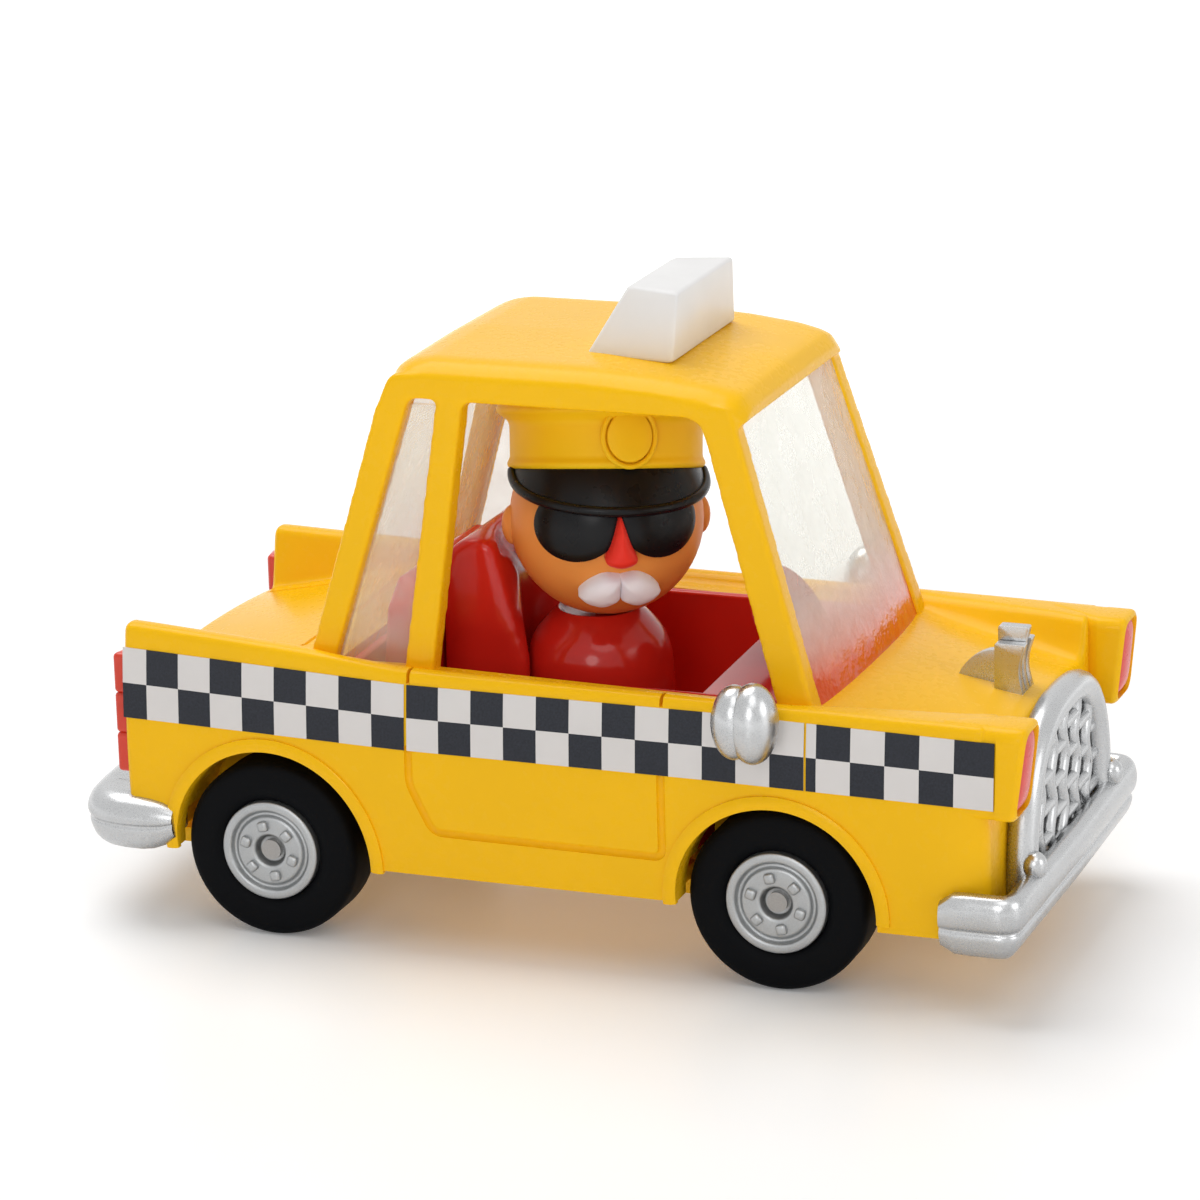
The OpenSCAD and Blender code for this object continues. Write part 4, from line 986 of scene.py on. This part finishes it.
class TAXI_OT_glazing(bpy.types.Operator):
    """Model the clear windscreen, rear window and quarter windows"""
    bl_idname = "taxi.glazing"
    bl_label = "Glazing"

    def execute(self, context):
        d = Drawing("taxi_cabin")
        bm = bmesh.new()
        for screen in SCREENS:
            grid(bm, [self.screen_row(row / 14, *screen) for row in range(15)])
        for hand in SIDES.values():
            grid(bm, [self.quarter_row(row / 10, hand) for row in range(11)])
        outward(bm)
        bmesh.ops.solidify(bm, geom=bm.faces, thickness=d.glass_t)
        piece("window_glass", bm, "glass", sharp=50)
        return {"FINISHED"}

    def screen_row(self, v, foot, head, bow):
        """Points across a screen at a share of its height."""
        half = SCREEN_HALF[0] + (SCREEN_HALF[1] - SCREEN_HALF[0]) * v
        row = []
        for u in (k / 12 - 1 for k in range(25)):
            s = foot + (head - foot) * v + bow * (1 - 0.4 * v) * (1 - u * u)
            row.append(Vector((s, u * half, SCREEN_FOOT + SCREEN_RISE * v)))
        return row

    def quarter_row(self, v, hand):
        """Points along a quarter window at a share of its height."""
        z = QUARTER_FOOT + QUARTER_RISE * v
        y = hand * (lean(z) - QUARTER_IN)
        start = -19.3 + 7.2 * v
        wide = 8 - 3.8 * v
        return [Vector((start + wide * k / 6, y, z)) for k in range(7)]


# First and last station of a film, then a square's station, pitch and column, and the last column
FILMS = {
    "rear": (-40.96, -10.66, -38.37, 3.47, 2, 99),
    "door": (-10.4, 29.4, -10.45, 3.32, 0, 99),
    "front": (29.62, 47.63, 30.59, 3.31, 2, 7),
}
FILM_ROWS = 2
HAIR = 0.001


class TAXI_OT_bands(bpy.types.Operator):
    """Lay the printed chequer films along the sides"""
    bl_idname = "taxi.bands"
    bl_label = "Chequer bands"

    def execute(self, context):
        proud = Drawing("taxi_trim").film_t
        for place, (start, stop, *squares) in FILMS.items():
            for name, hand in SIDES.items():
                rings = []
                for s in frange(start, stop, 1):
                    high, low = line(BAND_TOP, s), line(BAND_LOW, s)
                    ring = [on_side(s, low + (high - low) * k / 12, hand, proud) for k in range(13)]
                    rings.append([on_side(s, low, hand, -proud)] + ring + [on_side(s, high, hand, -proud)])
                bm = new_shape(grid, rings)
                self.count_squares(bm, *squares)
                piece("band_" + place + "_" + name, bm, "film")
        return {"FINISHED"}

    def count_squares(self, bm, zero, pitch, first, last):
        """Gives a film its map, which counts squares along it and down it."""
        layer = bm.loops.layers.uv.new("squares")
        for face in bm.faces:
            for corner in face.loops:
                s, _, z = corner.vert.co
                high, low = line(BAND_TOP, s), line(BAND_LOW, s)
                along = min(first + (s - zero) / pitch, last - HAIR)
                down = FILM_ROWS * (high - z) / (high - low)
                corner[layer].uv = (along, min(FILM_ROWS - HAIR, max(HAIR, down)))


# Bumpers: height, steps of the rounded ends, path from above and section, as corners with cuts
BUMPERS = {
    "front_bumper": (
        9.15, 2,
        [((42.6, -21.8), 0), ((49.5, -21.8), 1.7), ((49.7, 0), 0), ((49.5, 21.8), 1.7), ((42.6, 21.8), 0)],
        [((-1.2, -2.7), 0.4), ((-0.6, -3), 0.5), ((0.3, -2), 0.9), ((0.75, -0.6), 0.5), ((0.35, -0.15), 0.3),
         ((0.95, 0.35), 0.5), ((1.2, 1.8), 1), ((0.7, 3.3), 0.9), ((-0.4, 3.55), 0.6), ((-1.2, 2.8), 0.5)]),
    "rear_bumper": (
        11.3, 4,
        [((-36, 20.2), 0), ((-45, 20), 4), ((-46.2, 12), 4), ((-46.4, 0), 0), ((-46.2, -12), 4),
         ((-45, -20), 4), ((-36, -20.2), 0)],
        [((-5.6, -3), 0.3), ((-0.4, -3.8), 0.8), ((0.7, -2.9), 0.8), ((1.2, -1.3), 0.6), ((0.9, -0.9), 0.3),
         ((1.4, -0.4), 0.5), ((1.1, 0.9), 0.8), ((0.2, 1.8), 0.7), ((-1, 2.1), 0.6), ((-5.6, 1.5), 0.3)]),
}


def end_scales(count, steps):
    """Scales that round off both ends of a sweep."""
    scales = [1.0] * count
    for k in range(steps):
        grow = math.sin(math.acos(1 - (k + 0.6) / steps))
        scales[k] = grow
        scales[-1 - k] = grow
    return scales


class TAXI_OT_bumpers(bpy.types.Operator):
    """Model the two bumpers"""
    bl_idname = "taxi.bumpers"
    bl_label = "Bumpers"

    def execute(self, context):
        for name, (height, ends, bar, section) in BUMPERS.items():
            path = [Vector((p.x, p.y, height)) for p in finely(rounded(bar, 10), 1.2)]
            bm = new_shape(sweep, path, loop(section, 4), end_scales(len(path), ends))
            piece(name, bm, "silver", sharp=60)
        return {"FINISHED"}


# Grille: its station, the foot and rise of the arch, the power of its curve and the pitch of its bars
GRILLE_X = 48.2
GRILLE_FOOT = 9.5
GRILLE_RISE = 15.7
ARCH_POWER = 2.8
BAR_FOOT = 9
BAR_PITCH = 4.3


def arched(y):
    """Height of the grille's arch at a share of its half width."""
    return GRILLE_FOOT + GRILLE_RISE * (1 - abs(y) ** ARCH_POWER) ** (1 / ARCH_POWER)


class TAXI_OT_grille(bpy.types.Operator):
    """Model the grille with its surround and wavy bars"""
    bl_idname = "taxi.grille"
    bl_label = "Grille"

    def execute(self, context):
        d = Drawing("taxi_trim")
        half = d.grille_r
        bm = bmesh.new()
        across = [math.cos(math.pi * (1 - k / 60)) for k in range(61)]
        rope(bm, [Vector((GRILLE_X, half * y, arched(y))) for y in across], d.grille_tube, 14)
        for index in range(5):
            y = (index - 2) * BAR_PITCH
            top = arched(y / half)
            bar = []
            for k in range(25):
                z = BAR_FOOT + (top - BAR_FOOT) * k / 24
                wave = 0.55 * math.sin(z * 1.15 + index * 2.1)
                bar.append(Vector((GRILLE_X, y + wave, z)))
            rope(bm, bar, d.bar_r, 10)
        for index in range(6):
            y = (index - 2.5) * BAR_PITCH
            for k in range(5):
                z = 11.5 + 3.1 * k + (1.5 if index % 2 else 0)
                if abs(y / half) ** ARCH_POWER + ((z - GRILLE_FOOT) / GRILLE_RISE) ** ARCH_POWER < 0.8:
                    rope(bm, [Vector((GRILLE_X + 0.1, y + reach, z)) for reach in (-2, 2)], 0.65, 10)
        rim = [(half * y, arched(y)) for y in (math.cos(math.pi * k / 32) for k in range(33))]
        rim += [(-half, BAR_FOOT), (half, BAR_FOOT)]
        tube(bm, [[Vector((s, y, z)) for y, z in rim] for s in (46.85, 47.1)])
        for hand in SIDES.values():
            ball(bm, (49.6, hand * 14.2, 13.2), (1.2, 1.2, 1.4), 20)
        piece("grille", bm, "silver", sharp=60)
        return {"FINISHED"}


# Place across the car and height of the three blocks of the ornament, and the station of a mirror
BLOCKS = ((-1.35, 30.6), (0, 32), (1.35, 30.6))
FIN_X = 42.5
FIN_Z = 25
FIN_R = 4.6
MIRRORS = {"right": 24.5, "left": 22.3}
MIRROR_Y = 24
SIGN_FOOT = [(3.7, -8), (12.9, -9.26), (12.9, 9.26), (3.7, 8)]
SIGN_TOP = [(7.6, -6.5), (13.2, -8.15), (13.2, 8.15), (7.6, 6.5)]


class TAXI_OT_trim(bpy.types.Operator):
    """Model the hood ornament, the mirrors and the roof sign"""
    bl_idname = "taxi.trim"
    bl_label = "Ornament, mirrors and sign"

    def execute(self, context):
        d = Drawing("taxi_trim")
        self.ornament()
        for name, hand in SIDES.items():
            self.mirror(name, MIRRORS[name], hand)
        levels = ((57.7, SIGN_FOOT), (64.4, SIGN_TOP))
        bm = new_shape(tube, [[Vector((x, y, z)) for x, y in outline] for z, outline in levels])
        outward(bm)
        soften(bm, bm.edges[:], d.sign_round, 4)
        piece("roof_sign", bm, "white", sharp=50)
        return {"FINISHED"}

    def ornament(self):
        """A stepped block of three, with a fin behind it."""
        bm = bmesh.new()
        for y, high in BLOCKS:
            chain = rounded([((42.2, FIN_Z), 0), ((42.2, high), 0.3), ((45.2, high), 0.3),
                             ((44.4, 28), 2.4), ((45.2, FIN_Z), 0)], 5)
            tube(bm, [[Vector((p.x, face, p.y)) for p in chain] for face in (y - 0.6, y + 0.6)])
        fin = [(FIN_X, FIN_Z)]
        for turn in (math.pi / 2 * k / 16 for k in range(17)):
            fin.append((FIN_X - FIN_R * math.sin(turn), FIN_Z + FIN_R * math.cos(turn)))
        tube(bm, [[Vector((x, y, z)) for x, z in fin] for y in (-0.5, 0.5)])
        outward(bm)
        soften(bm, creases(bm, 50), 0.2)
        piece("hood_ornament", bm, "silver", sharp=50)

    def mirror(self, name, at, hand):
        """Two lobes on a short stalk."""
        bm = bmesh.new()
        ball(bm, (at - 0.9, hand * MIRROR_Y, 27.9), (2.2, 2.5, 3.6), 32)
        ball(bm, (at + 0.9, hand * MIRROR_Y, 27.9), (2.4, 2.7, 3.9), 32)
        rope(bm, [Vector((at, hand * 20.5, 26)), Vector((at, hand * MIRROR_Y, 27))], 1.1, 14)
        piece("mirror_" + name, bm, "silver", sharp=70)


class TAXI_OT_wheels(bpy.types.Operator):
    """Model the tyres and hubs, and finish the axles"""
    bl_idname = "taxi.wheels"
    bl_label = "Wheels"

    def execute(self, context):
        d = Drawing("taxi_wheels")
        for axle, at in (("front", FRONT_AXLE), ("rear", REAR_AXLE)):
            body = axle + "_wheels"
            for name, hand in SIDES.items():
                self.tyre(d, at, axle + "_" + name, hand, body)
                self.hub(d, at, axle + "_" + name, hand, body)
            refinish(axle + "_axle", "steel")
        return {"FINISHED"}

    def spun(self, chain, at, hand):
        """A wheel's piece from its section, given as places across the car and radii."""
        profile = [(at, hand * p.x, AXLE_Z + p.y) for p in chain]
        return new_shape(turned, profile, (at, 0, AXLE_Z), (0, 1, 0), 96)

    def tyre(self, d, at, name, hand, body):
        r = d.tyre_d / 2
        bore = d.hub_d / 2 - 0.05
        face = d.hub_face - 0.2
        back = face - d.tyre_w
        chain = loop([((back, bore), 0.3), ((back, r), 1), ((face - 0.25, r), 1.1), ((face, r - 2), 0.6),
                      ((face, bore + 0.9), 0.5), ((face - 0.5, bore), 0.3)], 6)
        piece("tyre_" + name, self.spun(chain + chain[:1], at, hand), "tyre", body)

    def hub(self, d, at, name, hand, body):
        """A dished hub with six studs round its middle."""
        r = d.hub_d / 2
        face = d.hub_face
        dish = face - 0.15
        bm = self.spun(rounded([
            ((face - 6, 0), 0), ((face - 6, r - 0.1), 0), ((dish, r - 0.1), 0.2),
            ((face, r - 0.4), 0.25), ((face, r - 0.95), 0.2), ((face - 0.6, r - 1.2), 0.2),
            ((face - 0.6, r - 1.5), 0.15), ((dish, r - 1.75), 0.2), ((dish, 1.65), 0.25),
            ((face - 1.1, 1.35), 0.2), ((face - 1.1, 0), 0)], 4), at, hand)
        # A stud is made at the origin, where nothing else of the hub is, and then moved to its place
        for k in range(6):
            verts = block(bm, (-d.stud / 2, -0.5, -d.stud / 2), (d.stud / 2, 0.3, d.stud / 2))
            soften(bm, edges_of(bm, verts), 0.28)
            stud = [vert for vert in bm.verts if vert.co.length < 2]
            turn = Matrix.Rotation(math.tau * k / 6 + 0.3, 4, "Y")
            matrix = Matrix.Translation((at, hand * dish, AXLE_Z)) @ turn @ Matrix.Translation((2.55, 0, 0))
            bmesh.ops.transform(bm, matrix=matrix, verts=stud)
        piece("hub_" + name, bm, "hub", body, sharp=50)


class Face:
    """Places on the driver's head by turn from its front and by height, both in degrees."""

    def __init__(self, radius, turn, tilt=0.0, roll=0.0):
        self.radius = radius
        self.centre = Vector((NECK_X, 0, HEAD_MID))
        level = Vector((math.cos(turn), -math.sin(turn), 0))
        over = Vector((0, 0, math.cos(tilt))) - level * math.sin(tilt)
        aside = Vector((math.sin(turn), math.cos(turn), 0))
        self.ahead = level * math.cos(tilt) + Vector((0, 0, math.sin(tilt)))
        self.up = over * math.cos(roll) + aside * math.sin(roll)
        self.left = aside * math.cos(roll) - over * math.sin(roll)

    def level(self, turn):
        """The level direction at a turn."""
        turn = math.radians(turn)
        return self.ahead * math.cos(turn) + self.left * math.sin(turn)

    def at(self, turn, height, proud):
        """A point over the skin."""
        height = math.radians(height)
        out = self.level(turn) * math.cos(height) + self.up * math.sin(height)
        return self.centre + out * (self.radius + proud)

    def round_at(self, turn, radius, height):
        """A point at a distance from the head's upright axis."""
        return self.centre + self.up * height + self.level(turn) * radius

    def patch(self, bm, middle, outline, proud, edge):
        """A cushion on the skin inside an outline of turns and heights."""
        middle = Vector(middle)
        rings = []
        for share in (k / 8 for k in range(9)):
            rise = edge + (proud - edge) * math.sqrt(max(0, 1 - share ** 2.4))
            places = [middle + (Vector(p) - middle) * share for p in outline]
            rings.append([self.at(p.x, p.y, rise) for p in places])
        rings.append([self.at(*p, -0.6) for p in outline])
        weld(bm, grid(bm, [ring + ring[:1] for ring in rings]), 0.001)


# The driver: outlines on the face as turns and heights with cuts, and the torso as radii and heights
NOSE_OUTLINE = [((0, 19), 3), ((6, -1), 4), ((11, -10), 5), ((0, -14), 7), ((-11, -10), 5), ((-6, -1), 4)]
MOUSTACHE = [((-1, -20), 2), ((10, -18), 5), ((21, -24), 5), ((28.5, -31), 1.5), ((24, -37), 6),
             ((10, -41), 6), ((-1, -35), 2)]
TORSO = [((0, 16.6), 0), ((7.2, 16.6), 0.5), ((7.4, 22.5), 3), ((7.1, 27.2), 2.4), ((5, 29.7), 1.5),
         ((4, 30.6), 0.2), ((3.4, 30.1), 0.2), ((0, 29.9), 0)]
TORSO_X = 1.5
VISOR_SPAN = 84
BADGE_TURN = 6
BADGE_WIDE = 15
BADGE_UP = 3.1
BADGE_HIGH = 2.9


class TAXI_OT_driver(bpy.types.Operator):
    """Model the driver with the cap, sunglasses, nose and moustache"""
    bl_idname = "taxi.driver"
    bl_label = "Driver"

    def execute(self, context):
        d = Drawing("taxi_driver")
        face = Face(d.head_d / 2, d.group.turn)
        bm = new_shape(ball, face.centre, (face.radius,) * 3, 64)
        for turn in (-92, 92):
            ball(bm, face.at(turn, -2, -0.3), (1.1, 1.1, 2), 20)
        piece("head", bm, "skin", "driver_head", sharp=60)
        tilted = Face(d.head_d / 2, d.group.turn, d.group.tilt, d.group.roll)
        self.cap(d, tilted)
        self.visor(d, tilted)
        self.sunglasses(d, face)
        bm = new_shape(face.patch, (0, -6), loop(NOSE_OUTLINE, 6), 2.4, 0.2)
        piece("nose", bm, "nose", "driver_head", sharp=60)
        bm = bmesh.new()
        for hand in (-1, 1):
            outline = loop([((hand * turn, height), cut) for (turn, height), cut in MOUSTACHE], 6)
            face.patch(bm, (hand * 11, -29), outline, 2.0, 0.2)
        piece("moustache", bm, "fur", "driver_head", sharp=60)
        profile = [(TORSO_X + p.x, 0, p.y) for p in rounded(TORSO, 8)]
        bm = new_shape(turned, profile, (TORSO_X, 0, 0), (0, 0, 1), 64)
        piece("driver_torso", bm, "red")
        return {"FINISHED"}

    def cap(self, d, face):
        """A flared cap with a blank badge."""
        low = face.radius / 2
        r = d.cap_d / 2
        flare = d.cap_top_d / 2
        top = low + d.cap_h
        chain = rounded([
            ((7.5, low), 0), ((r, low), 0.3), ((r + 0.3, low + 0.45), 0.4), ((r - 0.05, low + 1.1), 0.3),
            ((r, low + 4.6), 0.6), ((flare, low + 5.6), 0.6), ((flare - 0.8, top - 0.4), 1.2),
            ((0, top), 0)], 6)
        profile = [face.centre + face.left * p.x + face.up * p.y for p in chain]
        bm = new_shape(turned, profile, face.centre, face.up, 96)

        def badge(turn, share, rise):
            height = low + BADGE_UP + BADGE_HIGH * share * math.sin(turn)
            return face.round_at(BADGE_WIDE * share * math.cos(turn) + BADGE_TURN, r + rise, height)
        rings = []
        for share in (k / 6 for k in range(7)):
            rise = 0.75 * math.sqrt(1 - share ** 8) if share < 1 else -0.5
            ring = [badge(math.tau * step / 40, share, rise) for step in range(40)]
            rings.append(ring + ring[:1])
        grid(bm, rings)
        rope(bm, [badge(math.tau * step / 48, 1, 0.45) for step in range(49)], 0.27, 8)
        piece("cap", bm, "cap", "driver_head", sharp=50)

    def visor(self, d, face):
        """A thin curved peak with a rolled rim."""
        low = face.radius / 2 + 0.1
        r = d.cap_d / 2
        rings, rim = [], []
        for k in range(41):
            turn = -VISOR_SPAN + 2 * VISOR_SPAN * k / 40
            weight = math.cos(math.radians(turn * 90 / (VISOR_SPAN + 2))) ** 0.8
            ring = []
            for share in (step / 8 for step in range(9)):
                ring.append(face.round_at(turn, r - 0.2 + d.visor_reach * weight * share,
                                          low - d.visor_drop * weight * share ** 1.1))
            rim.append(ring[-1])
            under = [point - face.ahead * 0.5 * weight - face.up * 0.1 for point in reversed(ring)]
            rings.append(ring + under)
        bm = new_shape(tube, rings)
        rope(bm, rim, 0.5, 12)
        piece("visor", bm, "black", "driver_head", sharp=50)

    def sunglasses(self, d, face):
        """Two lenses and their bridge."""
        bm = bmesh.new()
        for hand in (-1, 1):
            outline = [(hand * (27 + 26 * math.cos(turn)), 10 + 21 * math.sin(turn))
                       for turn in (math.tau * k / 48 for k in range(48))]
            face.patch(bm, (hand * 27, 10), outline, d.lens_t, 0.45)
        rope(bm, [face.at(turn, 19, 0.2) for turn in range(-8, 9, 2)], 0.5, 10)
        piece("sunglasses", bm, "black", "driver_head", sharp=50)


# Interior: finish and bevel of the plain nodes, the far door card's new top, and the wheel's shift
PLAIN_NODES = {"interior_tub": ("red", 0.35), "rear_seat": ("red", 0.9), "base_plate": ("body", 0.25)}
CARD_Y = 13.5
CARD_TOP = 28.05
WHEEL_SHIFT = (2.2, 0, -2.4)


class TAXI_OT_interior(bpy.types.Operator):
    """Model the tub, the seats, the steering wheel and the base, and finish its screws"""
    bl_idname = "taxi.interior"
    bl_label = "Interior and base"

    def execute(self, context):
        for node, (cover, width) in PLAIN_NODES.items():
            bm = node_shape(node)
            if node == "interior_tub":
                self.raise_card(bm)
            soften(bm, creases(bm, 40), width)
            piece(node, bm, cover)
        bm = blended(node_shape("front_seat"), 0.4, 14)
        piece("front_seat", bm, "red", sharp=180)
        bm = node_shape("steering_wheel")
        bmesh.ops.translate(bm, vec=WHEEL_SHIFT, verts=bm.verts)
        piece("steering_wheel", bm, "red", sharp=50)
        refinish("base_screws", "steel")
        return {"FINISHED"}

    def raise_card(self, bm):
        """Moves the top of the left door card to its height."""
        high = max(vert.co.z for vert in bm.verts if abs(vert.co.y) > 15)
        for vert in bm.verts:
            if vert.co.y > CARD_Y and vert.co.z > high - 0.5:
                vert.co.z += CARD_TOP - high


# Stage: place in metres, size and watts of each lamp, and over how far the floor's painted glow rises to
# white
LAMPS = {
    "key": ((0.25, -0.45, 0.75), 0.55, 1.1),
    "top": ((-0.25, 0.15, 0.8), 0.7, 4.7),
    "front": ((0.9, -0.1, 0.35), 0.5, 1.3),
    "glint": ((0.1, -0.8, 0.32), 0.3, 0.9),
}
LAMP_AIM = Vector((0, 0, 0.02))
PAINTED_GLOW_FROM = 0.12
PAINTED_GLOW_TO = 0.6
SENSOR = 36
FILL = 0.26


class TAXI_OT_stage(bpy.types.Operator):
    """Set up the camera, the floor and the light"""
    bl_idname = "taxi.stage"
    bl_label = "Stage"

    def execute(self, context):
        scene = context.scene
        self.camera(scene)
        scene.view_settings.view_transform = "Standard"
        floor = self.floor(scene)
        lamps = [self.lamp(scene, name, *values) for name, values in LAMPS.items()]
        self.world(scene)
        return {"FINISHED"}

    def camera(self, scene):
        s = scene.taxi_stage
        level = math.cos(s.elevation)
        back = Vector((math.sin(s.azimuth) * level, -math.cos(s.azimuth) * level, math.sin(s.elevation)))
        right = Vector((0, 0, 1)).cross(back).normalized()
        up = back.cross(right)
        turn = Matrix((right, up, back)).transposed() @ Matrix.Rotation(s.roll, 3, "Z")
        data = bpy.data.cameras.new("Camera")
        data.lens = s.lens
        data.sensor_width = SENSOR
        data.clip_start = 0.01
        camera = bpy.data.objects.new("Camera", data)
        camera.matrix_world = Matrix.Translation(Vector(s.target) + back * s.distance) @ turn.to_4x4()
        scene.collection.objects.link(camera)
        scene.camera = camera

    def floor(self, scene):
        """A wide sheet of paper with a painted glow, faint near the car and rising to plain white away from
        it.
        """
        bm = bmesh.new()
        bmesh.ops.create_grid(bm, x_segments=1, y_segments=1, size=3)
        mesh = bpy.data.meshes.new("floor")
        bm.to_mesh(mesh)
        bm.free()
        rgb = scene.taxi_colours.floor

        def links(w):
            cloud = w.noise(60, 2)
            # Painted light: the floor glows though it is no lamp, faintly near the car and up to white
            # further away.
            far = w.node("ShaderNodeVectorMath", {"operation": "LENGTH"}, {0: w.place()}, "Value")
            painted_glow = far.within(PAINTED_GLOW_FROM, PAINTED_GLOW_TO)
            return {
                "Base Color": w.blend(cloud, *shades(rgb, 0.995, 1.005)),
                "Emission Color": w.blend(painted_glow, opaque((0.1, 0.1, 0.1)), opaque((1, 1, 1))),
                "Roughness": cloud.spread(0.3, 0.4)}
        mesh.materials.append(finish("floor_paper", {
            "Specular IOR Level": 0.3, "Emission Strength": 1}, links))
        made = bpy.data.objects.new("floor", mesh)
        scene.collection.objects.link(made)
        return made

    def lamp(self, scene, name, place, size, watts):
        """A round soft lamp that looks at the car."""
        data = bpy.data.lights.new(name, "AREA")
        data.shape = "DISK"
        data.size = size
        data.energy = watts
        made = bpy.data.objects.new(name, data)
        turn = (Vector(place) - LAMP_AIM).to_track_quat("Z", "Y")
        made.matrix_world = Matrix.Translation(place) @ turn.to_matrix().to_4x4()
        scene.collection.objects.link(made)
        return made

    def world(self, scene):
        """White where it is seen, also in gloss and through glass, and a weak fill elsewhere."""
        world = bpy.data.worlds.new("World")
        scene.world = world
        world.use_nodes = True
        tree = world.node_tree
        w = Wire(tree)
        seen = w.node("ShaderNodeLightPath", output="Is Camera Ray")
        for ray in ("Is Transmission Ray", "Is Glossy Ray"):
            seen = w.math("MAXIMUM", seen, w.node("ShaderNodeLightPath", output=ray))
        strength = seen.spread(FILL, 1)
        background = tree.nodes["Background"]
        background.inputs["Color"].default_value = (1, 1, 1, 1)
        tree.links.new(strength.socket, background.inputs["Strength"])


class TAXI_PT_panel(bpy.types.Panel):
    """Sizes, colours and steps of the toy taxi"""
    bl_idname = "TAXI_PT_panel"
    bl_label = "Toy Taxi"
    bl_space_type = "VIEW_3D"
    bl_region_type = "UI"
    bl_category = "Taxi"

    def draw(self, context):
        for step in STEPS:
            self.layout.operator(step.bl_idname)
        for name, group in GROUPS.items():
            box = self.layout.box()
            box.label(text=group.__doc__)
            for size in group.__annotations__:
                box.prop(getattr(context.scene, name), size)


STEPS = (
    TAXI_OT_body, TAXI_OT_lamps, TAXI_OT_cabin, TAXI_OT_glazing, TAXI_OT_bands, TAXI_OT_bumpers,
    TAXI_OT_grille, TAXI_OT_trim, TAXI_OT_wheels, TAXI_OT_driver, TAXI_OT_interior, TAXI_OT_stage)


def register():
    for made in (*GROUPS.values(), *STEPS, TAXI_PT_panel):
        bpy.utils.register_class(made)
    for name, group in GROUPS.items():
        setattr(bpy.types.Scene, name, bpy.props.PointerProperty(type=group))


def unregister():
    for name in GROUPS:
        delattr(bpy.types.Scene, name)
    for made in (TAXI_PT_panel, *reversed(STEPS), *reversed(tuple(GROUPS.values()))):
        bpy.utils.unregister_class(made)


def main():
    register()
    FINISHES.update(make_finishes())
    for step in STEPS:
        group, name = step.bl_idname.split(".")
        getattr(getattr(bpy.ops, group), name)()


if __name__ == "__main__":
    main()
